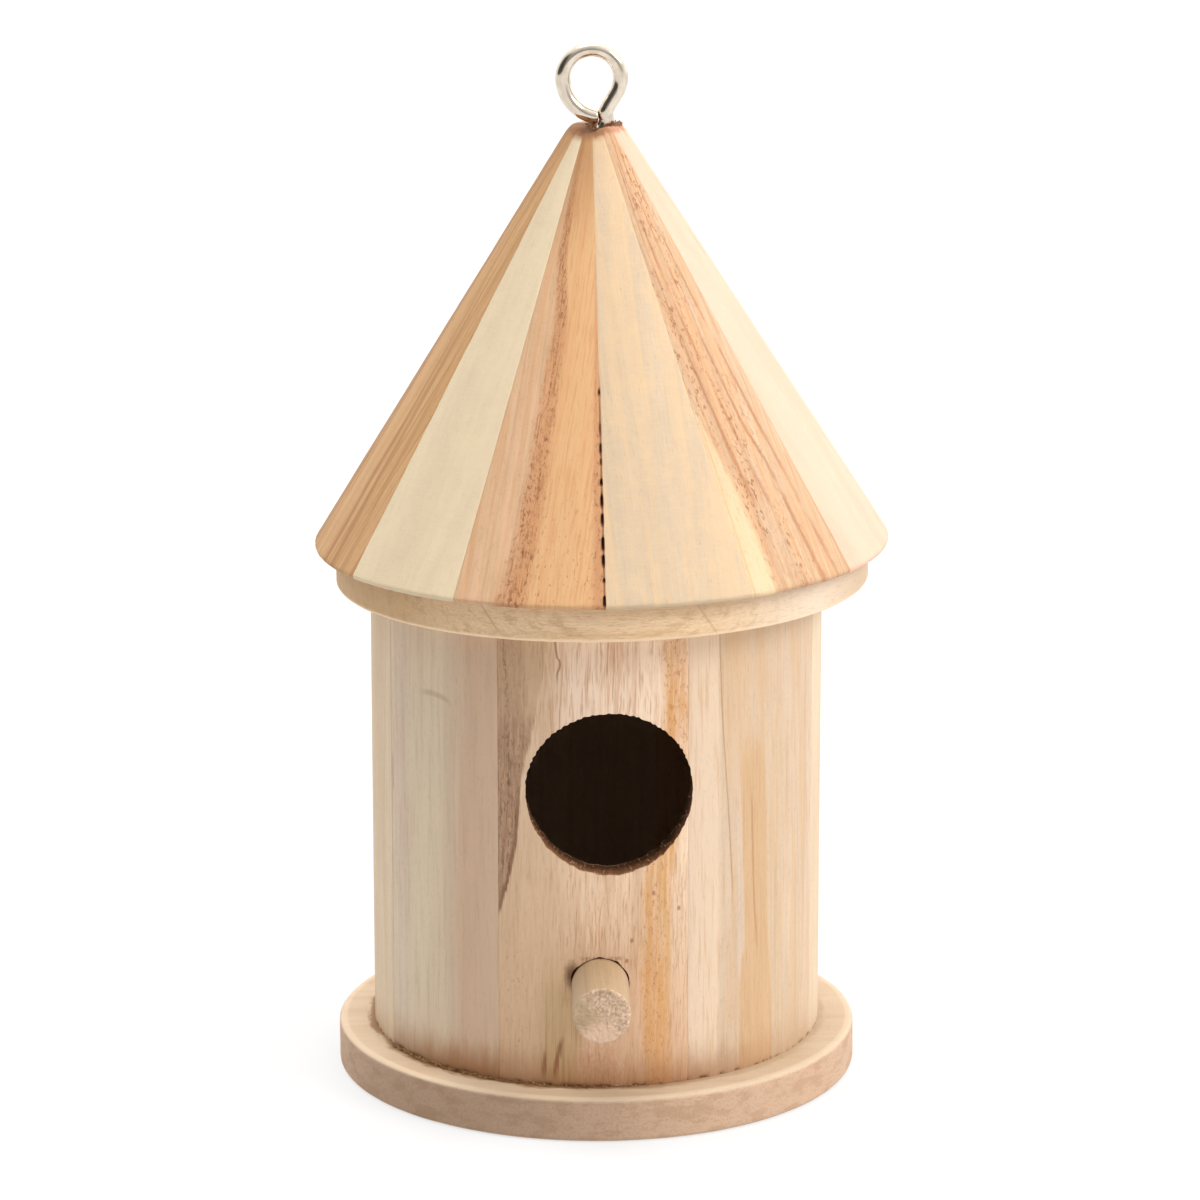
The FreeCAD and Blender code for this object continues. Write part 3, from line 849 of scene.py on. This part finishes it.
def wedge_outline(step):
    """Closed outline of the hollow cone: radius, z, share of the way out from the hub, and
    1 where the outline is the outer slope."""
    half_angle = math.atan(SLOPE_RATIO)
    centre_radius = RIM_RADIUS - RIM_ROUND / math.tan((math.pi / 2 - half_angle) / 2)
    points = []
    for turn in np.linspace(-math.pi / 2, half_angle, 8):
        points.append((centre_radius + RIM_ROUND * math.cos(turn), ROOF_Z + RIM_ROUND * (1 + math.sin(turn)),
                       1.0, len(points) > 0))
    for z in spaced(points[-1][1], TIP_Z - 1.3, step / SLANT)[1:]:
        points.append((cone_radius(z), z, 1.0, 1))
    for lower, inward in ((0.95, 0.05), (0.62, 0.12), (0.38, 0.2), (0.18, 0.32), (0.04, 0.5)):
        points.append((cone_radius(TIP_Z - lower) - inward, TIP_Z - lower, 1.0, 0))
    for share in (0.72, 0.66, 0.62, 0.44, 0.26, 0.1, 0.01):
        points.append((cone_radius(TIP_Z), TIP_Z, share, 0))
    for z in (158.0, 152.0, 146.0, ATTIC_TOP_Z):
        points.append((cone_radius(TIP_Z), z, 0.01, 0))
    attic_radius = cone_radius(ATTIC_TOP_Z) - ROOF_SHELL
    for share in np.linspace(0, 1, 20):
        points.append((attic_radius + (RIM_RADIUS - ROOF_SHELL - attic_radius) * share,
                       ATTIC_TOP_Z + (ROOF_Z - ATTIC_TOP_Z) * share, 1.0, 0))
    for radius in (40.5, 43.0, 45.5):
        points.append((radius, ROOF_Z, 1.0, 0))
    return np.array(points, float).T


def make_wedge(number, start, end):
    step = 0.5 if number in (1, 2, 3, 4, 5, 12) else 0.9
    columns = columns_of(start, end, RIM_RADIUS, step, [0.05, 0.14, 0.26, 0.42, 0.7])
    radii, heights, shares, outer = wedge_outline(step)
    way = around(1.0, columns[:, None], 0.0)
    toward = HUB[0] * way[..., 0] + HUB[1] * way[..., 1]
    reach = (np.sqrt(toward ** 2 + radii ** 2 - HUB[0] ** 2 - HUB[1] ** 2) - toward) * shares
    grid = way * reach[..., None] + [HUB[0], HUB[1], 0]
    grid[..., 2] = heights
    s = (heights - ROOF_Z) * SLANT
    to_left = np.radians(columns - columns[0])[:, None] * reach
    to_right = np.radians(columns[-1] - columns)[:, None] * reach
    sunk = bell(np.minimum(to_left, to_right), 0, 0.16) * 0.05
    notch = 0
    if number in (2, 3):
        side, width = (to_right, 0.34) if number == 2 else (to_left, 0.18)
        opened = gap_at(s) * (1 + 0.5 * rough(np.stack([s, s * 0, s * 0], -1), 0.8, 6))
        notch = np.clip(opened, 0, 1) * smooth(width, 0.06, side)
        notch = notch + smooth(41.0, 36.0, s) * smooth(0.22, 0.03, side) * 0.2
    wave = rough(grid, 7.0, number + 50) * 0.05
    fibre = rough(grid * [1, 1, 0.3], 1.0, number + 70, 2) * 0.012
    rim = smooth(1.6, 0.0, s) * np.clip(rough(grid, 0.9, number + 90), -0.2, 1) * 0.16
    grid -= way * ((sunk - wave - fibre + rim + notch) * outer)[..., None]
    name = "roof_wedge_%02d" % number
    piece = make_object(name + "_shaped", seat(grid).reshape(-1, 3), tube_faces(len(columns), len(radii)))
    cut(piece, tip_cutter())
    points = unseat(positions(piece))
    phi, radius = polar(points, start)
    z = points[:, 2]
    up = (z - ROOF_Z) * SLANT
    depth = (cone_radius(z) - radius) / SLANT
    lean = {4: 0.06, 12: 0.05, 2: 0.02}.get(number, 0.03 * ((number * 5) % 4 - 1.5))
    flat_turn = np.radians(phi - (start + end) / 2) * CONE_SINE + lean
    across = radius / CONE_SINE * np.sin(flat_turn)
    along = radius / CONE_SINE * np.cos(flat_turn)
    # Painted shade, kept in 'dark': in the torn crater round the screw's neck and on the roof's inside; at
    # the very tip it is partly the torn wood's own darker colour.
    tip = smooth(TIP_Z - 1.5, TIP_Z - 0.3, z - rough(points, 0.8, 15) * 0.6) * 0.6
    toward_chip = bell((phi + 23.0 + 180.0) % 360.0 - 180.0, 0, 34.0)
    tip = tip + smooth(TIP_Z - 2.6, TIP_Z - 1.0, z) * toward_chip * 0.9
    crater = smooth(3.0, 1.6, np.hypot(points[:, 0] - SCREW_X, points[:, 1])) * smooth(158.0, 161.0, z)
    dark = tip * 0.5 + crater * 0.5 + smooth(0.3, 3.0, depth) * 0.6 * (z < 158.0)
    # Painted shade in the open centre seam.
    if number in (2, 3):
        edge, width = (end, 0.55) if number == 2 else (start, 0.34)
        hub_turn = polar(points - [HUB[0], HUB[1], 0])[0]
        from_edge = np.abs(np.radians(hub_turn - edge)) * radius
        dark = dark + gap_at(up) * smooth(width, 0.12, from_edge) * 0.9
        dark = dark + smooth(41.0, 34.0, up) * smooth(0.3, 0.05, from_edge) * 0.35
    slot = "roof_wood_brown" if number % 2 == 0 else "roof_wood_pale"
    finish_piece(piece, "house", name, slot, wedge_material(number), dark=dark, place=(phi, up, depth),
                 grain=(across + number * 41.0, depth + number * 13.0, along + number * 83.0))


# ---- discs ----
def disc_outline(radius, low, high, low_round, high_round):
    """Half outline of a disc with rounded edges, from the axis round to the axis."""
    def edge(size, centre_z, start):
        turn = np.radians(np.linspace(start, start + 90, 7)[1:])
        return [(radius - size + size * math.cos(t), centre_z + size * math.sin(t)) for t in turn]

    points = [(0, low)] + [(r, low) for r in np.linspace(1.5, radius - low_round, 26)]
    points += edge(low_round, low + low_round, -90)
    points += [(radius, z) for z in np.linspace(low + low_round, high - high_round, 12)[1:]]
    points += edge(high_round, high - high_round, 0)
    return points + [(r, high) for r in np.linspace(radius - high_round, 1.5, 40)[1:]] + [(0, high)]


def base_details(p):
    phi, z, radius = p.place
    speck = p.noise(phi * 0.8, z * 1.6, radius * 1.2, 3.0, 0.75)
    side = p.step(radius, BASE_RADIUS - 0.5, BASE_RADIUS - 0.05) * p.step(z, FLOOR_Z - 0.15, FLOOR_Z - 0.6)
    fine = p.noise(phi * 1.6, z * 2.2, 3.0, 3.0, 0.7)
    blotch = p.noise(phi * 0.12, z * 0.35, 6.0, 3.0, 0.6)
    p.tone_layer(side * 0.9, 200, 165, 138)
    p.tone_layer(side * p.step(fine, 0.5, 0.66) * 0.45, 166, 128, 100)
    p.tone_layer(side * p.step(speck, 0.40, 0.30) * 0.4, 222, 192, 166)
    p.tone_layer(side * p.step(blotch, 0.46, 0.62) * 0.5, 176, 140, 108)
    # Painted highlight along the base's rounded top edge.
    rim = p.stripe(radius, BASE_RADIUS - 0.7, 0.35, 0.5) * p.step(z, FLOOR_Z - 0.9, FLOOR_Z - 0.4)
    p.tone_layer(rim * 0.5, 238, 214, 186)
    tone_layer = p.noise(phi * 0.12, radius * 0.5, 7.7, 3.0, 0.6)
    # Painted shade round the base: its top darker in front, under the wall and eave, and its side darkest at
    # the front left, away from the key light.
    front = p.path(phi, (-180, 0.95), (-80, 0.98), (-45, 0.93), (0, 0.78), (40, 0.78), (90, 0.84),
                   (180, 0.95))
    level = p.path(phi, (-180, 0.9), (-85, 0.90), (-45, 0.72), (0, 0.84), (38, 1.0), (85, 1.0), (180, 0.9))
    p.shade(side * (level - front) + front)
    ring = p.step(radius - tone_layer * 3.4, 38.2, 37.0) * p.step(z, FLOOR_Z - 0.3, FLOOR_Z - 0.1)
    left = p.step(phi, 50.0, -20.0) * 0.75 + 0.25
    p.tone_layer(ring * left * 0.85, 138, 98, 56)


def eave_details(p):
    phi, z, radius = p.place
    fine = p.noise(phi * 0.35, z * 3.0, radius * 1.2, 3.0, 0.65)
    # the disc is glued up from two boards, joined in front and at the back; the right-hand
    # one is paler
    right = p.step(phi, 14.0, 52.0)
    p.tone_layer(p.step(phi, -20.0, -60.0) * 0.7, 192, 156, 112)
    p.tone_layer(right * 0.85, 232, 213, 191)
    p.tone_layer(p.step(phi, 44.0, 74.0) * 0.9, 200, 172, 144)
    joint = p.stripe(phi + z * 0.87, 96.7, 0.1, 0.4)
    p.tone_layer(joint * 0.3, 176, 136, 100)
    crack = p.stripe(phi + z * 0.9, 53.5, 0.05, 0.45) * p.step(z, 86.2, 87.6)
    p.tone_layer(crack * 0.35, 150, 112, 74)
    # edge: painted highlight on the eave's rounded lower edge.
    edge = p.step(z, WALL_TOP_Z + 0.75, WALL_TOP_Z + 0.35)
    p.tone_layer(p.step(fine, 0.5, 0.68) * 0.3, 184, 146, 104)
    p.tone_layer(edge * 0.6, 246, 218, 184)


def make_disc(node, radius, outline, wave, nicks, seed, inner_z, move, back, look):
    """wave is the size and height of broad lumps, nicks the size and height share of small
    ones; inner_z is the face inside the house, and move and back seat the disc and undo it."""
    def shape(points):
        away = np.maximum(1e-6, np.hypot(points[..., 0], points[..., 1]))
        lumps = rough(points, wave[0], seed) * wave[1]
        lumps = lumps + rough(points * [1, 1, nicks[1]], nicks[0], seed + 1, 2) * 0.02
        lumps = lumps * smooth(radius - 1.5, radius - 0.3, away)
        points[..., :2] *= (1 + lumps / away)[..., None]
        return move(points)

    piece = turned(node + "_shaped", outline, 540, shape)
    points = back(positions(piece))
    phi, away = polar(points)
    x, y, z = points.T
    # Painted shade on the disc's face inside the house.
    inside = smooth(WALL_INNER_RADIUS + 0.5, WALL_INNER_RADIUS - 1.5, away) * (np.abs(z - inner_z) < 1.0)
    finish_piece(piece, "house", node, "disc_wood", wood(node.replace("disc", "wood"), **look),
                 dark=inside * 0.6, grain=(y + 7.0, z * 1.6, x + y * 0.12), place=(phi, z, away))


def make_discs():
    base_look = dict(pale=(218, 194, 166), deep=(212, 186, 156), line=(196, 164, 132), ring_size=2.2,
                     ring_strength=0.2, fibre=0.10, pores=0.3, details=base_details)
    outline = disc_outline(BASE_RADIUS, 0.0, FLOOR_Z, BASE_EDGE_ROUND, BASE_EDGE_ROUND)
    make_disc("base_disc", BASE_RADIUS, outline, (9.0, 0.07), (0.8, 0.5), 61, FLOOR_Z,
              np.array, np.array, base_look)
    eave_look = dict(pale=(236, 204, 166), deep=(224, 190, 150), line=(190, 152, 110), ring_size=1.0,
                     ring_strength=0.5, fibre=0.22, hatch=0.03, details=eave_details)
    outline = disc_outline(EAVE_RADIUS, WALL_TOP_Z, ROOF_Z, EAVE_EDGE_ROUND, 0.2)
    make_disc("eave_disc", EAVE_RADIUS, outline, (8.0, 0.06), (0.9, 1.5), 63, WALL_TOP_Z,
              seat, unseat, eave_look)


# ---- perch ----
def perch_details(p):
    x, z, reach = p.place
    end = p.step(reach, PERCH_REACH - 0.45, PERCH_REACH - 0.12)
    ragged = p.noise(x * 0.9, z * 0.9, 5.0, 3.0, 0.6)
    speck = p.noise(x * 1.9, z * 1.9, 1.0, 3.0, 0.75)
    rough_part = p.step(x * 0.8 + z * 0.6 + (ragged - 0.5) * 5.0, -1.6, 0.6)
    smooth_low = p.step(z - x * 0.5 + (ragged - 0.5) * 3.0, 0.6, -2.2)
    p.tone_layer(end * smooth_low * 0.9, 214, 180, 154)
    p.tone_layer(end * rough_part * 0.8, 202, 172, 146)
    p.tone_layer(end * rough_part * p.step(speck, 0.50, 0.62) * 0.55, 146, 112, 88)
    p.tone_layer(end * rough_part * p.step(speck, 0.48, 0.38) * 0.6, 234, 208, 180)
    # Painted shadow along the top edge of the dowel's sawn end.
    away = (x.op("POWER", 2.0) + z.op("POWER", 2.0)).op("SQRT")
    arc = p.stripe(away + (ragged - 0.5) * 1.4, 4.1, 0.12, 0.45)
    arc = arc * p.step(z, 2.4, 3.4) * p.between(x, -1.6, 1.2, 0.8)
    p.tone_layer(end * arc * 0.45, 124, 96, 72)


def make_perch():
    """Dowel with a rough, sawn end; turned along its own axis and laid into its hole."""
    inner_end = WALL_INNER_RADIUS - 1.0
    length = WALL_RADIUS + PERCH_REACH - inner_end
    outline = [(0, 0)] + [(r, 0) for r in np.linspace(0.4, PERCH_RADIUS - 0.4, 8)]
    outline += [(PERCH_RADIUS, z) for z in np.linspace(0.4, length - 0.35, 60)]
    outline += [(PERCH_RADIUS - 0.12, length - 0.1), (PERCH_RADIUS - 0.4, length)]
    outline += [(r, length) for r in np.linspace(PERCH_RADIUS - 0.6, 0.2, 24)] + [(0, length)]

    def shape(points):
        away = np.maximum(1e-6, np.hypot(points[..., 0], points[..., 1]))
        near_end = smooth(length - 0.8, length - 0.05, points[..., 2])
        saw = rough(points, 0.55, 71) * 0.10 + rough(points, 1.8, 72) * 0.12
        points[..., 2] += near_end * (saw - 0.05)
        lumps = rough(points * [1, 1, 0.15], 2.5, 73) * 0.05 + near_end * rough(points, 0.8, 74) * 0.14
        points[..., :2] *= (1 + lumps * (away > 1.0) / away)[..., None]
        x, z, out = np.moveaxis(points, -1, 0)
        return np.stack([x - out * 0.022 + PERCH_X, -(out + inner_end), z + PERCH_Z], -1)

    piece = turned("perch_dowel_shaped", outline, 180, shape)
    x, y, z = (positions(piece) - [PERCH_X, 0, PERCH_Z]).T
    reach = -y - WALL_RADIUS
    look = dict(pale=(184, 158, 128), deep=(174, 148, 116), line=(156, 126, 94), ring_size=1.5,
                ring_strength=0.25, fibre=0.10, pores=0.2, hatch=0.03, details=perch_details)
    # dark: painted shade on the dowel where it goes into its hole.
    finish_piece(piece, "house", "perch_dowel", "dowel_wood", wood("dowel_wood_look", **look),
                 dark=smooth(0.6, -0.6, reach) * 0.6, grain=(x, z, -y), place=(x, z, reach))


# ---- loose fibres ----
def sliver(base, direction, length, width, bend):
    """One closed, tapering, bent sliver: vertices and faces."""
    direction = np.array(direction, float)
    direction /= np.linalg.norm(direction)
    side = np.cross(direction, [0.3, 0.5, 0.8])
    side /= np.linalg.norm(side)
    other = np.cross(direction, side)
    rings = []
    for t in (0.0, 0.35, 0.7):
        centre = base + direction * length * t + other * bend * t * t
        size = width * (1 - 0.75 * t)
        rings += [centre + side * size, centre - side * size * 0.5 + other * size * 0.8,
                  centre - side * size * 0.5 - other * size * 0.8]
    rings.append(base + direction * length + other * bend)
    faces = [(0, 2, 1)]
    for i in (0, 3):
        for j in range(3):
            k = (j + 1) % 3
            faces.append((i + j, i + k, i + 3 + k, i + 3 + j))
    faces += [(6, 7, 9), (7, 8, 9), (8, 6, 9)]
    return rings, faces


def sliver_piece(name, slivers, slot, pale, deep, line):
    vertices, faces = [], []
    for base, direction, length, width, bend in slivers:
        points, sides = sliver(base, direction, length, width, bend)
        faces += [tuple(len(vertices) + v for v in face) for face in sides]
        vertices += points
    piece = make_object(name, np.array(vertices), faces)
    x, y, z = positions(piece).T
    material = wood(name + "_look", pale, deep, line, ring_size=0.8, fibre=0.3, pores=0.3)
    finish_piece(piece, "house", None, slot, material, dark=x * 0, grain=(x, y, z), place=(x, z, y))


def make_fibres():
    random = np.random.default_rng(11)
    # torn fibres along the lower rim of the entrance
    slivers = []
    for _ in range(130):
        angle = math.radians(random.uniform(190, 350))
        radius = ENTRANCE_RADIUS - random.uniform(-0.12, 0.1)
        x = ENTRANCE_X + radius * math.cos(angle)
        z = ENTRANCE_Z + radius * math.sin(angle)
        depth = random.uniform(0.1, 4.6)
        y = -math.sqrt((WALL_RADIUS - depth) ** 2 - x * x)
        inward = (-math.cos(angle) * 0.6 + random.normal(0, 0.3), random.normal(0, 0.5),
                  -math.sin(angle) * 0.7 + random.normal(0, 0.35))
        slivers.append(((x, y, z), inward, random.uniform(0.25, 0.75), random.uniform(0.05, 0.11),
                        random.normal(0, 0.12)))
    sliver_piece("entrance_fibres", slivers, "wall_wood_brown",
                 (206, 168, 132), (170, 130, 96), (120, 84, 58))
    # burrs and dust along the wall's foot, mostly at the left
    slivers = []
    for _ in range(620):
        phi = -66 + 84 * random.beta(1.2, 2.2)
        radius = WALL_RADIUS + random.uniform(-0.05, 0.18) + random.beta(1, 4) * 0.9
        base = around(radius, phi, FLOOR_Z + random.uniform(0.02, 0.4))
        outward = around(1.0, phi + random.normal(0, 45), random.uniform(-0.3, 0.9))
        slivers.append((base, outward, random.uniform(0.25, 0.9), random.uniform(0.05, 0.14),
                        random.normal(0, 0.15)))
    sliver_piece("foot_fibres", slivers, "wall_wood_brown", (176, 140, 94), (142, 104, 62), (98, 68, 38))
    # torn wood round the neck of the screw eye, mostly a lump on its right
    slivers = []
    for _ in range(70):
        right = random.uniform() < 0.75
        angle = random.normal(92, 22) if right else random.uniform(0, 360)
        radius = random.uniform(2.65, 3.3) if right else random.uniform(2.65, 3.2)
        base = around(radius, angle, TIP_Z - 0.35) + [SCREW_X, 0, 0]
        lean = around(0.4, angle + random.normal(0, 40), 0.9)
        height = random.uniform(0.5, 0.95) if right else random.uniform(0.2, 0.35)
        width = random.uniform(0.2, 0.36) if right else random.uniform(0.12, 0.25)
        slivers.append((seat(base), lean, height, width, random.normal(0, 0.1)))
    sliver_piece("tip_fibres", slivers, "roof_wood_brown", (206, 166, 140), (164, 126, 100), (116, 82, 60))


# ---- screw eye ----
RING_X = -0.65
RING_Z = 170.25
RING_RADIUS = 4.78
LOWER_RADIUS = 6.6
END_ANGLE = 263.0
NECK = ((SCREW_X, 161.0), (1.75, 162.9), (1.55, 164.7))
NECK_RADII = (2.5, 2.0, 2.3)
SHANK_TOP_Z = 158.7
SHANK_BOTTOM_Z = 145.2
POINT_LENGTH = 2.5
CORE_RADIUS = 0.95
THREAD_PITCH = 1.1
WIRE_END_ROUND = 0.5


def arc_points(centre, radius, start, end, step=0.12):
    count = max(3, int(abs(math.radians(end - start)) * radius / step))
    return [(centre[0] + radius * math.cos(math.radians(a)), centre[1] + radius * math.sin(math.radians(a)))
            for a in np.linspace(start, end, count)]


def corner_points(before, corner, after, radius):
    """Points of the arc that rounds one corner of the wire's path."""
    a = (Vector(before) - Vector(corner)).normalized()
    b = (Vector(after) - Vector(corner)).normalized()
    half = a.angle(b) / 2
    centre = Vector(corner) + (a + b).normalized() * (radius / math.sin(half))
    first = Vector(corner) + a * (radius / math.tan(half)) - centre
    last = Vector(corner) + b * (radius / math.tan(half)) - centre
    start = math.degrees(math.atan2(first.y, first.x))
    turn = math.degrees(math.atan2(first.cross(last), first.dot(last)))
    return arc_points(centre, radius, start, start + turn)


def eye_path():
    """Centre line of the wire above the thread, in the XZ plane."""
    dx, dz = NECK[-1][0] - RING_X, NECK[-1][1] - RING_Z
    touch_angle = math.degrees(math.atan2(dz, dx) + math.acos(RING_RADIUS / math.hypot(dx, dz)))
    touch = (RING_X + RING_RADIUS * math.cos(math.radians(touch_angle)),
             RING_Z + RING_RADIUS * math.sin(math.radians(touch_angle)))
    corners = [(SCREW_X, SHANK_TOP_Z)] + list(NECK) + [touch]
    path = [corners[0]]
    for i, radius in enumerate(NECK_RADII, 1):
        path += corner_points(corners[i - 1], corners[i], corners[i + 1], radius)
    path += arc_points((RING_X, RING_Z), RING_RADIUS, touch_angle, 180.0)
    lower_x = RING_X - RING_RADIUS + LOWER_RADIUS
    path += arc_points((lower_x, RING_Z), LOWER_RADIUS, 180.0, END_ANGLE)
    return path


def metal():
    """Nickel-plated wire: bright, a little drawn along its length, with faint haze."""
    material, p = new_paint("nickel_plate")
    along, side = p.read("place")[:2]
    scratch = p.noise(along * 0.6, side * 14.0, 0.0, 3.0, 0.6)
    cloud = p.noise(along * 0.5, side * 1.2, 4.0, 2.0, 0.5)
    p.colour = p.mix(p.step(cloud, 0.35, 0.7), tone(226, 214, 198), tone(208, 195, 176))
    p.surface(scratch * 0.08 + cloud * 0.06 + 0.06, scratch + cloud * 0.6, 0.006, 0.5, 1.0)
    return material


def make_screw_eye():
    """Threaded shank and bent wire as one tube; the wire's cut end is rounded."""
    sides = 48
    turn = circle(sides)
    centres, radii = [], []
    for z in np.arange(SHANK_BOTTOM_Z, SHANK_TOP_Z, 0.09):
        share = min(1.0, (z - SHANK_BOTTOM_Z) / POINT_LENGTH)
        core = 0.06 + (CORE_RADIUS - 0.06) * share
        ridge = np.abs(((z / THREAD_PITCH - turn / (2 * math.pi)) % 1.0) - 0.5) * 2
        crest = np.clip(1 - ridge / 0.55, 0, 1) * (WIRE_RADIUS - CORE_RADIUS)
        crest = crest * smooth(0.12, 0.8, share) * smooth(SHANK_TOP_Z - 0.2, SHANK_TOP_Z - 1.1, z)
        centres.append((SCREW_X, z))
        radii.append(core + crest + (WIRE_RADIUS - core) * smooth(SHANK_TOP_Z - 0.7, SHANK_TOP_Z - 0.1, z))
    for spot in eye_path():
        if math.dist(spot, centres[-1]) > 0.04:
            centres.append(spot)
            radii.append(np.full(sides, WIRE_RADIUS))
    line, radii = np.array(centres), np.array(radii)
    length = np.concatenate([[0], np.cumsum(np.hypot(*np.diff(line, axis=0).T))])
    even = np.append(np.arange(0, length[-1], 0.11), length[-1])
    line = np.stack([np.interp(even, length, values) for values in line.T], -1)
    sizes = np.stack([np.interp(even, length, values) for values in radii.T], -1)
    tangent = np.gradient(line, axis=0)
    tangent /= np.linalg.norm(tangent, axis=1)[:, None]
    to_end = np.minimum(1, (length[-1] - even) / WIRE_END_ROUND)
    sizes = sizes * (0.62 + 0.38 * np.sqrt(1 - (1 - to_end) ** 2))[:, None]
    out = sizes * np.cos(turn)
    grid = np.stack([line[:, :1] - tangent[:, 1:] * out, sizes * np.sin(turn),
                     line[:, 1:] + tangent[:, :1] * out], -1)
    piece = make_object("screw_eye_shaped", seat(grid).reshape(-1, 3), tube_faces(len(even), sides))
    along = np.repeat(even, sides)
    finish_piece(piece, "eye", "screw_eye", "plated_steel", metal(), sharp_angle=50,
                 place=(along, np.tile(np.cos(turn), len(even)), along * 0))


# ---- studio ----
CAMERA_YAW = -2.4               # degrees; the house's front points slightly to the right
CAMERA_DISTANCE = 0.9386        # horizontal, from the house's axis
CAMERA_HEIGHT = 0.3352
CAMERA_PITCH = 15.15            # degrees downwards
CAMERA_SHIFT = 0.000636         # sideways, to the camera's right
SENSOR_WIDTH = 36.0
FOCAL_RATIO = 4.787             # focal length over image width


def add(data, place, turn):
    """Puts a camera or light into the scene."""
    thing = bpy.data.objects.new(data.name, data)
    bpy.context.scene.collection.objects.link(thing)
    thing.location = place
    thing.rotation_euler = turn
    return thing


def make_camera():
    data = bpy.data.cameras.new("camera")
    data.sensor_width = SENSOR_WIDTH
    data.lens = SENSOR_WIDTH * FOCAL_RATIO
    data.clip_start = 0.01
    data.clip_end = 50.0
    yaw = math.radians(CAMERA_YAW)
    x = CAMERA_SHIFT * math.cos(yaw) + CAMERA_DISTANCE * math.sin(yaw)
    y = CAMERA_SHIFT * math.sin(yaw) - CAMERA_DISTANCE * math.cos(yaw)
    camera = add(data, (x, y, CAMERA_HEIGHT), (math.radians(90.0 - CAMERA_PITCH), 0.0, yaw))
    bpy.context.scene.camera = camera


def make_light(name, place, size, power, colour):
    """Round soft light, aimed at the middle of the house."""
    data = bpy.data.lights.new(name, "AREA")
    data.shape = "DISK"
    data.size = size
    data.energy = power
    data.color = colour
    aim = Vector((0, 0, 0.09)) - Vector(place)
    add(data, place, aim.to_track_quat("-Z", "Y").to_euler())


def make_world():
    """White room, bright behind and on the right, darker towards the front left, with
    a dark stand at the left."""
    world = bpy.data.worlds.new("studio")
    bpy.context.scene.world = world
    world.use_nodes = True
    p = Paint(world.node_tree)
    way = Term(p.tree, p.new("TexCoord").outputs["Generated"])

    def toward(*place):
        return p.fill(p.new("VectorMath", operation="DOT_PRODUCT"), {0: way, 1: place}, "Value")

    level = p.remap(toward(0.30, 0.66, 0.69), -1.0, 1.0, 0.0, 1.8, "LINEAR")
    dim = p.remap(toward(-0.87, -0.48, 0.08), 0.74, 0.90, 1.0, 0.15)
    shine = {"Strength": level * dim, "Color": (1.0, 0.995, 0.98, 1.0)}
    p.fill(p.tree.nodes["Background"], shine)


def make_floor():
    bpy.ops.mesh.primitive_plane_add(size=10, location=(0, 0, -0.0001))
    floor = bpy.context.object
    floor.name = "floor"
    material = bpy.data.materials.new("white_table")
    material.use_nodes = True
    p = Paint(material.node_tree)
    p.fill(p.tree.nodes["Principled BSDF"], {
        "Base Color": (0.26, 0.26, 0.26, 1.0), "Roughness": 0.9, "Specular IOR Level": 0.1,
        "Emission Color": (1.0, 1.0, 1.0, 1.0), "Emission Strength": 0.65})
    floor.data.materials.append(material)


def make_studio():
    bpy.context.scene.view_settings.view_transform = "Standard"
    make_camera()
    make_world()
    make_floor()
    make_light("key", (0.72, -0.42, 0.66), 0.45, 4.4, (1.0, 0.99, 0.97))
    make_light("overhead", (-0.1, -0.1, 1.25), 0.8, 7.0, (1.0, 1.0, 0.99))


make_studio()
make_discs()
make_ring(STAVE_SEAMS, STAVE_COUNT, make_stave)
make_ring(WEDGE_SEAMS, WEDGE_COUNT, make_wedge)
make_perch()
make_fibres()
make_screw_eye()
